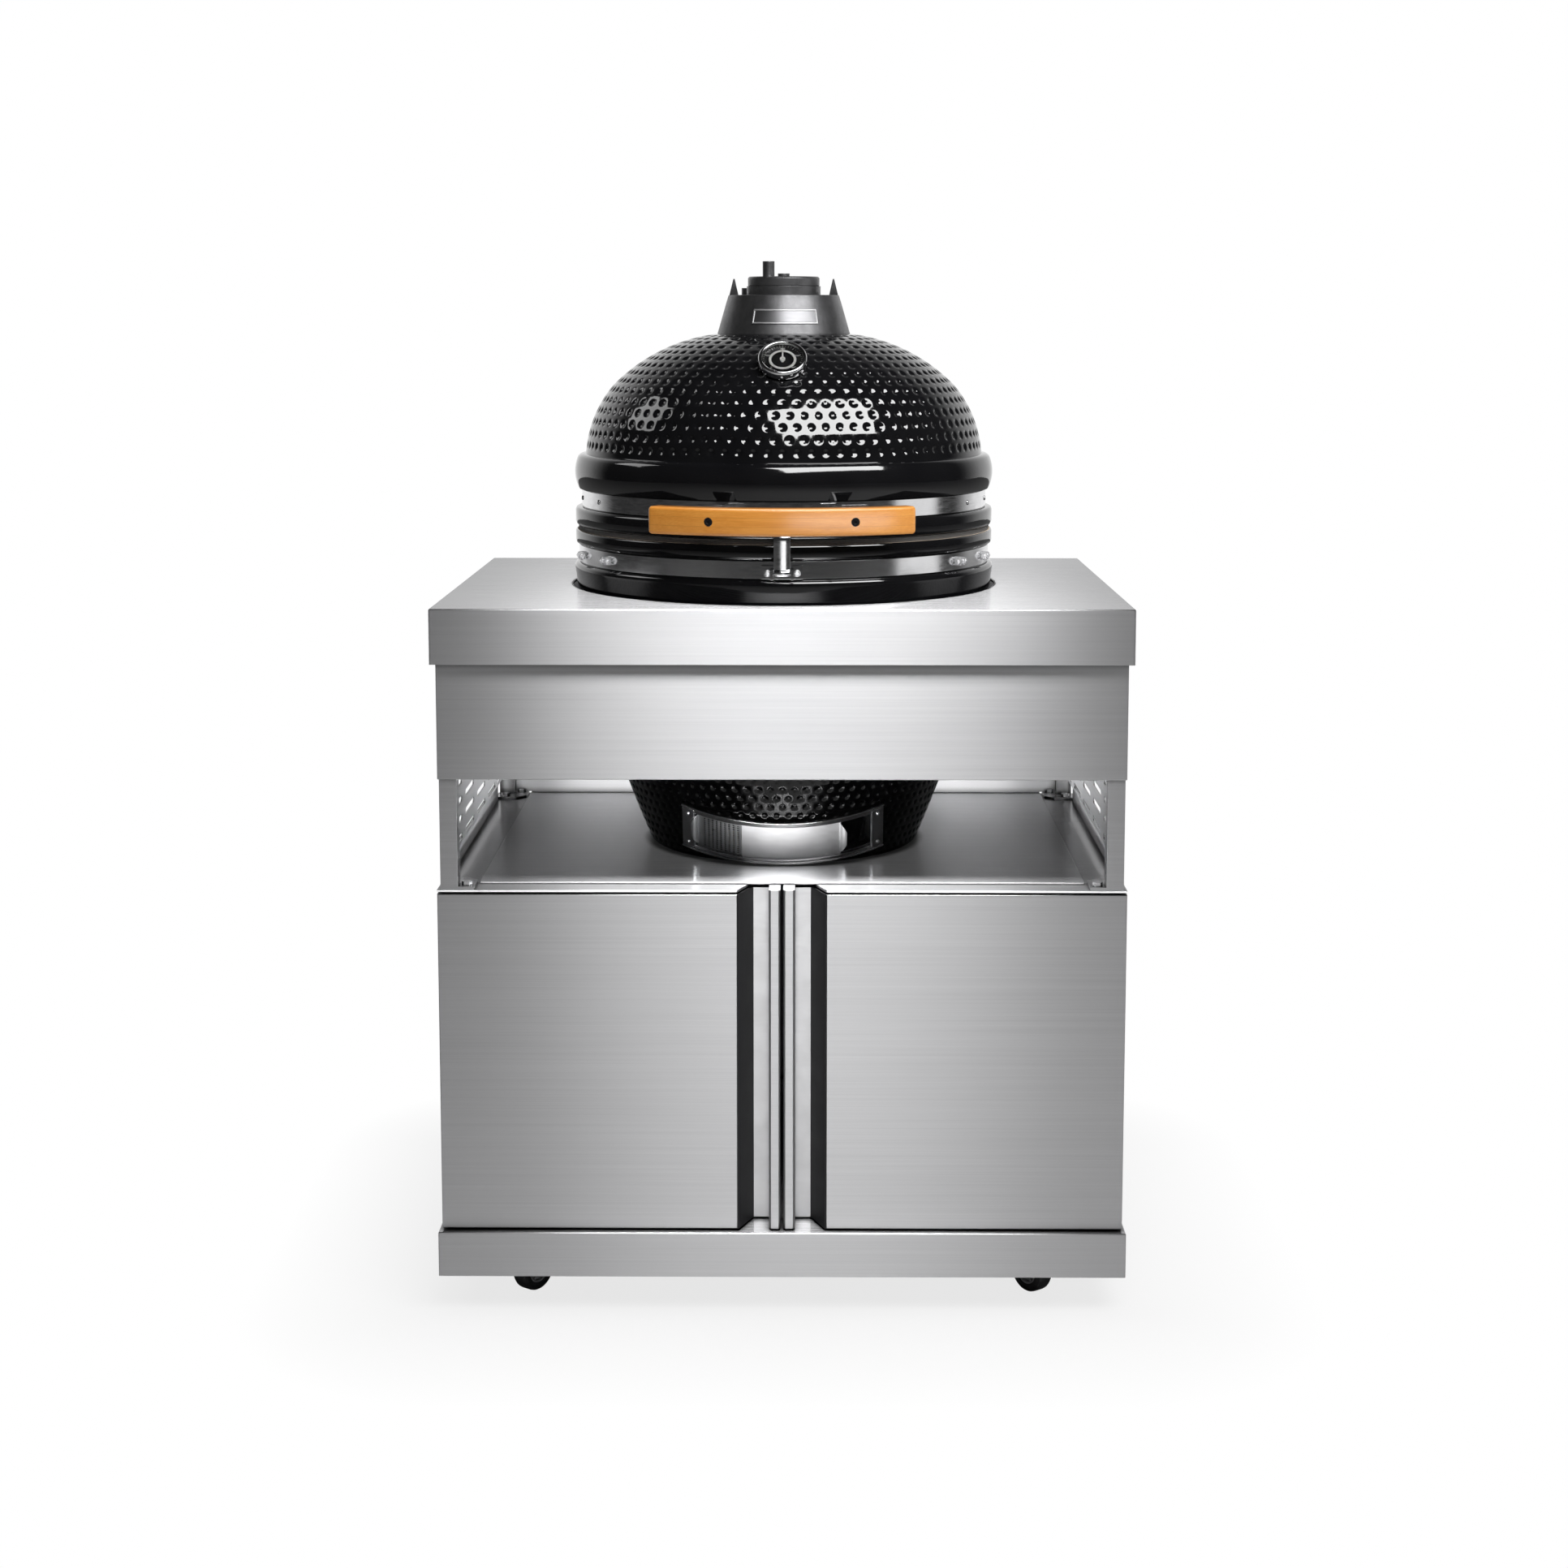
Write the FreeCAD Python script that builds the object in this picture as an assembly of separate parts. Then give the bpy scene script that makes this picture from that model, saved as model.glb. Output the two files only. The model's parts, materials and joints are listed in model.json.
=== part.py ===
import FreeCAD, Part
import math
import os

V = FreeCAD.Vector

# Cabinet, from the floor up
floor_gap = 48.6
plinth_height = 58.0
cabinet_height = 445.4
bay_height = 141.5
apron_height = 146.5
fascia_height = 70.0
top_width = 880.0
top_depth = 650.0
top_sheet = 3.0
skirt_sheet = 2.5
apron_inset = 7.0
apron_sheet = 2.0
case_inset = 4.5
case_sheet = 2.0
case_flange = 18.0
back_inset = 6.0

# Open frame round the bay
post_side = 22.0
post_wall = 2.0
foot_width = 42.0
foot_depth = 52.5
foot_thickness = 4.0
bolt_radius = 4.0
bolt_head_radius = 6.5
bolt_head_height = 5.0
bolt_edge = 2.0
bolt_tip_gap = 0.5
panel_sheet = 1.5
panel_gap = 36.0
upstand_height = 30.0
slot_length = 80.0
slot_height = 8.0
slot_pitch_y = 115.0
slot_pitch_z = 24.5
slot_first_z = 8.0
slot_rows = 4
slots_per_row = 5

# Deck and the plate under the grill
deck_sheet = 3.0
plate_thickness = 3.0
plate_front_inset = 33.0
plate_gap = 4.0

# Stiffening channels
channel_width = 60.0
channel_depth = 20.0
channel_sheet = 2.0
channel_side_gap = 12.0

# Doors
door_inset = 8.0
door_depth = 45.0
door_gap_bottom = 2.9
door_gap_top = 2.5
door_gap_centre = 3.6
door_gap_rear = 4.0
door_corner_radius = 6.0
door_web = 3.0
door_sheet = 1.5
door_stile = 8.0
recess_front_x = 55.0
recess_rear_x = 37.0
recess_sheet = 1.5
grip_width = 14.7
grip_rise = 5.5
grip_wall = 2.0
grip_nose = 2.5
pin_radius = 4.0
pin_edge_x = 12.0
pin_edge_y = 10.0
pin_bite = 12.0
pin_fit = 0.05

# Casters
caster_x = 340.0
caster_y = 262.0
caster_turn = 54.0
caster_trail = 22.0
wheel_radius = 30.0
wheel_width = 22.0
wheel_hub_radius = 19.0
wheel_hub_recess = 3.0
wheel_side_gap = 1.5
axle_radius = 4.0
axle_nut_radius = 7.0
axle_nut_height = 3.0
fork_sheet = 3.0
fork_clearance = 10.5
caster_plate_side = 62.0
caster_plate_thickness = 3.0
race_radius = 21.0
kingpin_radius = 5.0
kingpin_head_radius = 9.0
kingpin_head_height = 3.0
fork_back = 14.5
fork_front = 19.5
fork_corner = 6.0
running_gap = 0.3

# Ceramic body of the grill
foot_radius = 182.0
belly_radius = 285.0
belly_mid_radius = 249.0
belly_rise = 31.5
belly_bevel = 6.0
base_wall = 24.0
base_floor = 17.0
hole_gap = 5.0
trim_sheet = 2.0
lip_radius = 283.5
lip_bevel = 4.0
base_lip_height = 19.0
lid_lip_height = 24.0
groove_edge = 1.5
lower_band_height = 22.0
lower_band_radius = 279.0
upper_band_height = 22.0
upper_band_radius = 274.8
band_sheet = 2.0
gasket_thickness = 3.0
gasket_width = 16.0
rim_gap = 0.3

# Ceramic lid
collar_radius = 284.0
collar_height = 46.0
collar_low_radius = 279.0
collar_bevel = 4.6
dome_base_radius = 269.0
dome_low_radius = 256.5
dome_low_rise = 52.0
shoulder_radius = 231.0
shoulder_rise = 92.5
dome_high_radius = 175.0
dome_high_rise = 134.5
crown_radius = 92.0
dome_height = 161.0
lid_wall = 24.0
neck_radius = 72.0
neck_bore = 60.0
neck_height = 12.0

# Chimney cap and damper
cap_base_radius = 90.0
cap_top_radius = 75.0
cap_height = 52.0
cap_wall = 6.0
cap_seat_gap = 0.4
seat_radius = 50.0
seat_height = 12.0
damper_radius = 48.5
damper_height = 12.5
damper_edge = 2.0
port_count = 3
port_inner = 14.0
port_outer = 38.0
port_angle = 50.0
damper_shaft = 5.0
shaft_head_radius = 8.0
shaft_head_height = 4.0
knob_radius = 8.0
knob_height = 20.0
knob_place = 40.0
knob_turn = -30.0
lug_height = 22.0
lug_width = 14.0
lug_thickness = 6.0
lug_edge = 1.5
stub_radius = 10.0
stub_height = 10.0
stub_turn = -128.0
stub_edge = 4.0

# Thermometer
dial_height = 122.0
dial_tilt = 48.0
dial_radius = 31.5
dial_depth = 13.0
dial_well_radius = 26.0
dial_well_depth = 7.0
dial_stand = 3.0
stem_radius = 4.0
stem_length = 62.0
stem_fit = 1.0
glass_thickness = 1.6
needle_length = 19.0
needle_tail = 6.0
needle_width = 3.0
needle_thickness = 1.2
needle_hub_radius = 3.5
needle_shaft_radius = 1.2
needle_lift = 1.5

# Handle, its arms and the latch
handle_inner = 310.0
handle_thickness = 22.0
handle_height = 35.0
handle_chord = 325.0
handle_bevel = 3.0
handle_rise = 26.2
arm_inner_turn = 10.0
arm_outer_turn = 20.0
arm_leg_turn = 14.5
arm_sheet = 3.0
screw_turn = 16.0
screw_radius = 3.0
screw_head_radius = 5.5
screw_head_height = 3.0
screw_sink = 1.0
latch_width = 21.0
latch_thickness = 5.0
latch_length = 48.0
latch_stand = 3.0
latch_pin_radius = 3.0
latch_pin_rise = 8.0
latch_ear = 4.0
latch_plate = 2.5
latch_plate_width = 52.0
latch_plate_height = 17.0
latch_nose = 6.0

# Rear hinge
hinge_pin_radius = 5.0
hinge_pin_head_radius = 8.0
hinge_pin_head = 3.0
hinge_boss_radius = 14.0
hinge_ear = 4.0
hinge_half_width = 70.0
hinge_ear_gap = 4.0
hinge_fit = 0.06
ear_taper = 1.6
ear_side = 0.85
ear_low = 0.45
lip_clearance = 0.5
bracket_sheet = 2.5
shelf_drop = 27.0
shelf_thickness = 3.0
spring_wire = 4.0
spring_pin_gap = 0.6
spring_pitch = 5.4
spring_turns = 3
spring_sides = 6
spring_side_gap = 8.0

# Inner parts
box_gap = 4.0
box_wall = 15.0
box_floor = 12.0
box_drop = 85.0
box_port_height = 24.0
ring_wall = 14.0
ring_drop = 20.0
ash_hole = 55.0
grate_ledge = 62.0
grate_thickness = 8.0
grate_slot = 9.0
grate_slot_pitch = 19.0
grate_slots_per_side = 5
bar_width = 5.0
bar_height = 6.0
bar_pitch = 20.0
cooking_edge_gap = 6.0

# Draft door on the front of the base
draft_tilt = 22.0
draft_rise = 34.5
draft_radius = 205.0
draft_span = 38.6
draft_window = 33.0
draft_height = 66.0
rail_height = 8.0
rail_lip = 1.8
groove_depth = 4.0
slider_sheet = 1.2
seat_margin = 1.0
slider_gap = 0.4
slider_span = 36.0
slider_turn = 3.3
mesh_span = 36.0
mesh_turn = -14.7
pull_depth = 8.0
pull_height = 34.0
pull_sheet = 2.0
mesh_columns = 9
mesh_rows = 7
mesh_hole = 3.4
draft_port_width = 150.0
draft_port_height = 30.0

# Clamp nuts on the lower band, by angle from the front
nut_turns = (55.0, 72.0)
nut_radius = 7.0
nut_height = 7.0
lid_nut_turns = (62.0, 80.0)

# Sizes worked out from the ones above
draft_depth = 2 * rail_lip + 2 * slider_sheet + 3 * slider_gap
plinth_top = floor_gap + plinth_height
deck_top = plinth_top + cabinet_height
apron_bottom = deck_top + bay_height
fascia_bottom = apron_bottom + apron_height
top_z = fascia_bottom + fascia_height
top_under = top_z - top_sheet
plate_top = deck_top + plate_thickness
half_width = top_width / 2
half_depth = top_depth / 2
apron_x = half_width - apron_inset
apron_y = half_depth - apron_inset
case_x = half_width - case_inset
case_back = half_depth - back_inset
door_front = -half_depth + door_inset
door_rear = door_front + door_depth
case_front = door_rear + door_gap_rear
post_x = apron_x - apron_sheet
post_y = apron_y - apron_sheet
lower_groove = top_z + belly_rise
lower_band = lower_groove + groove_edge
base_lip = lower_band + lower_band_height + groove_edge
base_rim = base_lip + base_lip_height
lid_rim = base_rim + 2 * gasket_thickness + rim_gap
upper_groove = lid_rim + lid_lip_height
upper_band = upper_groove + groove_edge
collar_bottom = upper_band + upper_band_height + groove_edge
dome_base = collar_bottom + collar_height
dome_top = dome_base + dome_height
hole_radius = belly_radius + hole_gap


# Helpers
def block(x0, x1, y0, y1, z0, z1):
    """A box between two corners given in any order."""
    corner = V(min(x0, x1), min(y0, y1), min(z0, z1))
    return Part.makeBox(abs(x1 - x0), abs(y1 - y0), abs(z1 - z0), corner)


def rod(radius, start, direction, length):
    return Part.makeCylinder(radius, length, start, direction)


def pillar(radius, x, y, z0, z1):
    return Part.makeCylinder(radius, z1 - z0, V(x, y, z0))


def hexagon(radius, start, direction, length):
    """A hexagon head or nut that stands on a point along a direction."""
    turns = [math.radians(60 * index) for index in range(7)]
    sheet = Part.Face(Part.makePolygon([V(radius * math.cos(a), radius * math.sin(a), 0) for a in turns]))
    solid = sheet.extrude(V(0, 0, length))
    solid.Placement = FreeCAD.Placement(start, FreeCAD.Rotation(V(0, 0, 1), direction))
    return solid


def fuse(first, *rest):
    return first.fuse(list(rest)).removeSplitter()


def cut(shape, *tools):
    return shape.cut(list(tools))


def face(start, *steps):
    """A face through points, where a pair of points is an arc's middle and end."""
    edges = []
    here = start
    for step in steps:
        if isinstance(step, tuple):
            edges.append(Part.Arc(here, step[0], step[1]).toShape())
            here = step[1]
        else:
            edges.append(Part.LineSegment(here, step).toShape())
            here = step
    if here.distanceToPoint(start) > 1e-6:
        edges.append(Part.LineSegment(here, start).toShape())
    return Part.Face(Part.Wire(edges))


def turned(start, *steps):
    """A body of revolution about Z from a section in the XZ plane."""
    return face(start, *steps).revolve(V(0, 0, 0), V(0, 0, 1), 360)


def p(radius, z):
    return V(radius, 0, z)


def ring(inner, outer, z0, z1):
    return turned(p(inner, z0), p(outer, z0), p(outer, z1), p(inner, z1))


def on_circle(radius, angle, z=0.0):
    """A point at an angle from the front, positive to the right."""
    a = math.radians(angle)
    return V(radius * math.sin(a), -radius * math.cos(a), z)


def sector(inner, outer, a0, a1, z0, z1):
    """A piece of a ring between two angles from the front."""
    middle = (a0 + a1) / 2
    sheet = face(
        on_circle(inner, a0, z0),
        (on_circle(inner, middle, z0), on_circle(inner, a1, z0)),
        on_circle(outer, a1, z0),
        (on_circle(outer, middle, z0), on_circle(outer, a0, z0)),
    )
    return sheet.extrude(V(0, 0, z1 - z0))


def prism_x(x0, x1, *outline):
    """A plate across X from an outline of (y, z) points."""
    points = [V(x0, y, z) for y, z in outline]
    return face(points[0], *points[1:]).extrude(V(x1 - x0, 0, 0))


def prism_z(z0, z1, start, *steps):
    return face(start, *steps).extrude(V(0, 0, z1 - z0))


def mirror_x(shape):
    return shape.mirror(V(0, 0, 0), V(1, 0, 0))


def mirror_y(shape):
    return shape.mirror(V(0, 0, 0), V(0, 1, 0))


def corners(shape):
    """A piece and its copies at the four corners."""
    pair = [shape, mirror_x(shape)]
    return pair + [mirror_y(piece) for piece in pair]


def radius_at(low, middle, high, z):
    """The radius at a height on the arc through three points of a section."""
    circle = Part.Arc(low, middle, high).toShape().Curve
    rise = z - circle.Center.z
    return circle.Center.x + math.sqrt(circle.Radius ** 2 - rise ** 2)


def save(name, *solids):
    shape = solids[0] if len(solids) == 1 else Part.makeCompound(list(solids))
    shape.exportStep("parts/" + name + ".step")


# Worktop, apron and the ring that lines the hole
def worktop():
    outer = block(-half_width, half_width, -half_depth, half_depth, fascia_bottom, top_z)
    x = half_width - skirt_sheet
    y = half_depth - skirt_sheet
    inside = block(-x, x, -y, y, fascia_bottom, top_under)
    hole = pillar(hole_radius, 0, 0, top_under, top_z)
    return cut(outer, inside, hole)


def cutout_trim():
    """A black edge strip, as high as the sheet that it lines."""
    return ring(hole_radius - trim_sheet, hole_radius, top_under, top_z)


def apron():
    outer = block(-apron_x, apron_x, -apron_y, apron_y, apron_bottom, top_under)
    inside = block(-post_x, post_x, -post_y, post_y, apron_bottom, top_under)
    return cut(outer, inside)


# Corner posts on bolted feet
def post():
    outer = block(post_x - post_side, post_x, -post_y, -post_y + post_side, deck_top, top_under)
    x0 = post_x - post_side + post_wall
    y1 = -post_y + post_side - post_wall
    bore = block(x0, post_x - post_wall, -post_y + post_wall, y1, deck_top + foot_thickness, top_under)
    foot_x = post_x - foot_width
    foot_y = -post_y + foot_depth
    chamfer = foot_width / 3
    foot = prism_z(
        deck_top, deck_top + foot_thickness, V(post_x, -post_y, deck_top), V(post_x, foot_y, deck_top),
        V(foot_x + chamfer, foot_y, deck_top), V(foot_x, foot_y - chamfer, deck_top),
        V(foot_x, -post_y, deck_top),
    )
    solid = fuse(outer, foot)
    holes = [pillar(bolt_radius, x, y, deck_top, deck_top + foot_thickness) for x, y in bolt_places()]
    return cut(solid, bore, *holes)


def bolt_places():
    """The two bolts of the front right foot, clear of the post."""
    free_x = post_x - post_side - (foot_width - post_side) / 2
    free_y = -post_y + foot_depth - bolt_head_radius - bolt_edge
    return [(free_x, -post_y + post_side / 2), (post_x - post_side / 2, free_y)]


def bolt(x, y):
    seat = deck_top + foot_thickness
    shank = pillar(bolt_radius, x, y, deck_top - deck_sheet + bolt_tip_gap, seat)
    return fuse(shank, hexagon(bolt_head_radius, V(x, y, seat), V(0, 0, 1), bolt_head_height))


# Panels of the open frame
def vent_slot(x, y, z):
    """A punched slot with cut-off corners."""
    half = slot_length / 2
    r = slot_height / 2
    corner = r * (2 - math.sqrt(2))
    return prism_x(
        x, x + panel_sheet, (y - half + corner, z - r), (y + half - corner, z - r),
        (y + half, z - r + corner), (y + half, z + r - corner), (y + half - corner, z + r),
        (y - half + corner, z + r), (y - half, z + r - corner), (y - half, z - r + corner),
    )


def vent_panel():
    x = post_x - post_side / 2
    y = post_y - post_side
    sheet = block(x, x + panel_sheet, -y, y, deck_top + panel_gap, top_under)
    slots = []
    for row in range(slot_rows):
        for column in range(slots_per_row):
            place_y = (column - (slots_per_row - 1) / 2) * slot_pitch_y
            place_z = deck_top + panel_gap + slot_first_z + row * slot_pitch_z
            slots.append(vent_slot(x, place_y, place_z))
    return cut(sheet, *slots)


def upper_back_panel():
    y = post_y - post_side / 2
    x = post_x - post_side
    return block(-x, x, y, y + panel_sheet, deck_top + panel_gap, top_under)


# Deck between the doors and the bay
def deck():
    under = deck_top - deck_sheet
    front = door_front
    notch = recess_front_x + door_gap_centre / 2
    depth = recess_rear_x + door_gap_centre / 2
    sheet = prism_z(
        under, deck_top, V(-case_x, front, under), V(-notch, front, under), V(-depth, door_rear, under),
        V(depth, door_rear, under), V(notch, front, under), V(case_x, front, under),
        V(case_x, case_back, under), V(-case_x, case_back, under),
    )
    y = post_y - foot_depth - plate_gap
    side_x = post_x
    side = block(side_x - panel_sheet, side_x, -y, y, deck_top, deck_top + upstand_height)
    x = post_x - foot_width - plate_gap
    rear = block(-x, x, post_y - panel_sheet, post_y, deck_top, deck_top + upstand_height)
    solid = fuse(sheet, side, mirror_x(side), rear)
    holes = []
    for x, y in bolt_places():
        holes += corners(pillar(bolt_radius, x, y, under, deck_top))
    for side in (-1, 1):
        holes.append(pillar(pin_radius + pin_fit, side * door_pin_x(), door_pin_y(), under, deck_top))
    return cut(solid, *holes)


def deck_plate():
    x = post_x - foot_width - plate_gap
    y = post_y - panel_sheet - plate_gap
    return block(-x, x, door_front + plate_front_inset, y, deck_top, plate_top)


# Folded channels under the worktop, under the deck and in the plinth
def channel(y, top, half_length):
    half = channel_width / 2
    lip = channel_width / 4
    sheet = channel_sheet
    low = top - channel_depth
    return prism_x(
        -half_length, half_length, (y - half, top), (y - half, top - sheet), (y - lip, top - sheet),
        (y - lip, low), (y + lip, low), (y + lip, top - sheet), (y + half, top - sheet), (y + half, top),
        (y + lip - sheet, top), (y + lip - sheet, low + sheet), (y - lip + sheet, low + sheet),
        (y - lip + sheet, top),
    )


def side_channel(x, top):
    """A channel along Y beside the hole in the worktop."""
    piece = channel(0, 0, half_depth - skirt_sheet - 2 * channel_side_gap)
    piece.rotate(V(0, 0, 0), V(0, 0, 1), 90)
    piece.translate(V(x, 0, top))
    return piece


def channels():
    under_deck = deck_top - deck_sheet
    floor_under = plinth_top - skirt_sheet
    deck_half = case_x - case_sheet - case_flange - channel_side_gap
    plinth_half = half_width - skirt_sheet - channel_side_gap
    x = (hole_radius + post_x - post_side) / 2
    return [
        channel(-foot_radius + channel_width, under_deck, deck_half),
        channel(foot_radius - channel_width, under_deck, deck_half),
        channel(-caster_y, floor_under, plinth_half), channel(caster_y, floor_under, plinth_half),
        side_channel(x, top_under), side_channel(-x, top_under),
    ]


# Lower cabinet
def cabinet_side():
    top = deck_top - deck_sheet
    wall = block(case_x - case_sheet, case_x, case_front, case_back - case_sheet, plinth_top, top)
    x = case_x - case_flange
    front = block(x, case_x, case_front, case_front + case_sheet, plinth_top, top)
    rear = block(x, case_x, case_back - 2 * case_sheet, case_back - case_sheet, plinth_top, top)
    return fuse(wall, front, rear)


def cabinet_back():
    return block(-case_x, case_x, case_back - case_sheet, case_back, plinth_top, deck_top - deck_sheet)


def plinth():
    outer = block(-half_width, half_width, -half_depth, half_depth, floor_gap, plinth_top)
    x = half_width - skirt_sheet
    y = half_depth - skirt_sheet
    inside = block(-x, x, -y, y, floor_gap, plinth_top - skirt_sheet)
    pins = []
    for side in (-1, 1):
        place = side * door_pin_x()
        pins.append(pillar(pin_radius + pin_fit, place, door_pin_y(), plinth_top - skirt_sheet, plinth_top))
    return cut(outer, inside, *pins)


# Doors, drawn for the right side
def door_pin_x():
    return case_x - pin_edge_x


def door_pin_y():
    return door_rear - pin_edge_y


def door_heights():
    return plinth_top + door_gap_bottom, deck_top - deck_sheet - door_gap_top


def recess_shift(thickness=recess_sheet):
    """How far a sheet's thickness moves the slanted face sideways."""
    slope = math.hypot(door_depth - door_web, recess_front_x - recess_rear_x)
    return thickness * slope / (door_depth - door_web)


def door_cavity(low, high):
    """The hollow between the door's two skins, beside its solid hinge stile."""
    shift = recess_shift() + recess_shift(door_sheet)
    stile = door_pin_x() - pin_radius - door_stile
    front = door_front + door_sheet
    rear = door_rear - door_web
    bottom = low + door_sheet
    return prism_z(
        bottom, high - door_sheet, V(recess_front_x + shift, front, bottom), V(stile, front, bottom),
        V(stile, rear, bottom), V(recess_rear_x + shift, rear, bottom),
    )


def door_panel():
    low, high = door_heights()
    web_front = door_rear - door_web
    inner = door_gap_centre / 2
    shift = recess_shift()
    r = door_corner_radius
    diagonal = r * (1 - math.sqrt(0.5))
    solid = prism_z(
        low, high, V(recess_front_x + shift, door_front, low), V(case_x, door_front, low),
        V(case_x, door_rear - r, low),
        (V(case_x - diagonal, door_rear - diagonal, low), V(case_x - r, door_rear, low)),
        V(inner, door_rear, low), V(inner, web_front, low), V(recess_rear_x + shift, web_front, low),
    )
    bores = [
        pillar(pin_radius, door_pin_x(), door_pin_y(), low, low + pin_bite),
        pillar(pin_radius, door_pin_x(), door_pin_y(), high - pin_bite, high),
    ]
    return cut(solid, door_cavity(low, high), *bores)


def door_recess():
    low, high = door_heights()
    web_front = door_rear - door_web
    shift = recess_shift()
    return prism_z(
        low, high, V(recess_front_x, door_front, low), V(recess_front_x + shift, door_front, low),
        V(recess_rear_x + shift, web_front, low), V(recess_rear_x, web_front, low),
    )


def door_grip():
    """A hollow upright pull that rises above the door as a horn."""
    low, high = door_heights()
    x0 = door_gap_centre / 2
    x1 = x0 + grip_width
    web_front = door_rear - door_web
    top = high + grip_rise
    nose = grip_nose
    bar = prism_z(
        low, top, V(x0, web_front, low), V(x0, door_front + nose, low), V(x0 + nose, door_front, low),
        V(x1 - nose, door_front, low), V(x1, door_front + nose, low), V(x1, web_front, low),
    )
    hollow = block(x0 + grip_wall, x1 - grip_wall, door_front + grip_wall, web_front, low, top - grip_wall)
    return cut(bar, hollow)


def door_pins():
    low, high = door_heights()
    x = door_pin_x()
    y = door_pin_y()
    return [
        pillar(pin_radius, x, y, plinth_top - skirt_sheet + running_gap, low + pin_bite),
        pillar(pin_radius, x, y, high - pin_bite, deck_top - running_gap),
    ]


# Casters, drawn about their swivel axis with the wheel behind it along +X
def caster_levels():
    mount = plinth_top - skirt_sheet - channel_depth
    plate = mount - caster_plate_thickness
    fork_low = wheel_radius * 2 + fork_clearance
    fork_high = fork_low + fork_sheet
    return mount, plate, fork_low, fork_high


def caster_plate():
    mount, plate, fork_low, fork_high = caster_levels()
    half = caster_plate_side / 2
    under = fork_low - running_gap
    return fuse(
        block(-half, half, -half, half, plate, mount),
        pillar(race_radius, 0, 0, fork_high + running_gap, plate),
        pillar(kingpin_radius, 0, 0, under, plate),
        pillar(kingpin_head_radius, 0, 0, under - kingpin_head_height, under),
    )


def fork_leg(side):
    """A side plate that narrows from the crown down to the axle."""
    mount, plate, fork_low, fork_high = caster_levels()
    y = side * (wheel_width / 2 + wheel_side_gap)
    eye = axle_radius * 2
    leg = face(
        V(-fork_back, y, fork_low), V(caster_trail - eye, y, wheel_radius - axle_radius),
        (V(caster_trail, y, wheel_radius - eye), V(caster_trail + eye, y, wheel_radius - axle_radius)),
        V(fork_front, y, fork_low),
    )
    return leg.extrude(V(0, side * fork_sheet, 0))


def caster_fork():
    mount, plate, fork_low, fork_high = caster_levels()
    outer = wheel_width / 2 + wheel_side_gap + fork_sheet
    corner = fork_corner
    z = fork_low
    crown = prism_z(
        fork_low, fork_high, V(-fork_back, corner - outer, z), V(corner - fork_back, -outer, z),
        V(fork_front - corner, -outer, z), V(fork_front, corner - outer, z),
        V(fork_front, outer - corner, z), V(fork_front - corner, outer, z),
        V(corner - fork_back, outer, z), V(-fork_back, outer - corner, z),
    )
    frame = fuse(crown, fork_leg(-1), fork_leg(1))
    frame = cut(frame, pillar(kingpin_radius + pin_fit, 0, 0, fork_low, fork_high))
    end = outer + axle_nut_height
    across = V(0, 1, 0)
    return fuse(
        frame, rod(axle_radius, V(caster_trail, -outer, wheel_radius), across, 2 * outer),
        hexagon(axle_nut_radius, V(caster_trail, -end, wheel_radius), across, axle_nut_height),
        hexagon(axle_nut_radius, V(caster_trail, outer, wheel_radius), across, axle_nut_height),
    )


def caster_wheel():
    """A tyre round a hub that is set back on both faces."""
    half = wheel_width / 2
    face_in = half - wheel_hub_recess
    bore = axle_radius + pin_fit
    outline = face(
        V(bore, -face_in, 0), V(wheel_hub_radius, -face_in, 0), V(wheel_hub_radius, -half, 0),
        V(wheel_radius, -half, 0), V(wheel_radius, half, 0), V(wheel_hub_radius, half, 0),
        V(wheel_hub_radius, face_in, 0), V(bore, face_in, 0),
    )
    solid = outline.revolve(V(0, 0, 0), V(0, 1, 0), 360)
    solid.translate(V(caster_trail, 0, wheel_radius))
    return solid


def at_corner(shape, side_x, side_y):
    """Turn a caster piece so that its wheel trails towards the middle."""
    piece = shape.copy()
    turn = math.radians(caster_turn)
    along = math.degrees(math.atan2(-side_y * math.sin(turn), -side_x * math.cos(turn)))
    piece.rotate(V(0, 0, 0), V(0, 0, 1), along)
    piece.translate(V(side_x * caster_x, side_y * caster_y, 0))
    return piece


# Ceramic base
def base_points(inset):
    """The section points of the body, or of a wall set in from it."""
    foot = plate_top if inset == 0 else plate_top + base_floor
    middle = (plate_top + lower_groove) / 2
    belly = lower_groove - belly_bevel
    return p(foot_radius - inset, foot), p(belly_mid_radius - inset, middle), p(belly_radius - inset, belly)


def wall_radius(inset, z):
    """The radius at a height on the straight inner walls."""
    foot, middle, belly = base_points(inset)
    low, high = (foot, middle) if z < middle.z else (middle, belly)
    return low.x + (high.x - low.x) * min(1, (z - low.z) / (high.z - low.z))


def ceramic_base():
    foot, middle, belly = base_points(0)
    in_foot, in_middle, in_belly = base_points(base_wall)
    seat = lower_band_radius - band_sheet
    solid = turned(
        p(0, plate_top), foot, (middle, belly), p(belly_radius - belly_bevel, lower_groove),
        p(seat, lower_groove), p(seat, base_lip), p(lip_radius - lip_bevel, base_lip),
        p(lip_radius, base_lip + lip_bevel), p(lip_radius, base_rim), p(in_belly.x, base_rim), in_belly,
        in_middle, in_foot, p(0, in_foot.z),
    )
    return cut(solid, draft_port(), draft_seat())


def draft_port():
    """The air inlet through the front wall of the ceramic."""
    low = plate_top + base_floor
    half = draft_port_width / 2
    reach = -foot_radius + 2 * base_wall
    return block(-half, half, -belly_radius, reach, low, low + draft_port_height)


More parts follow.
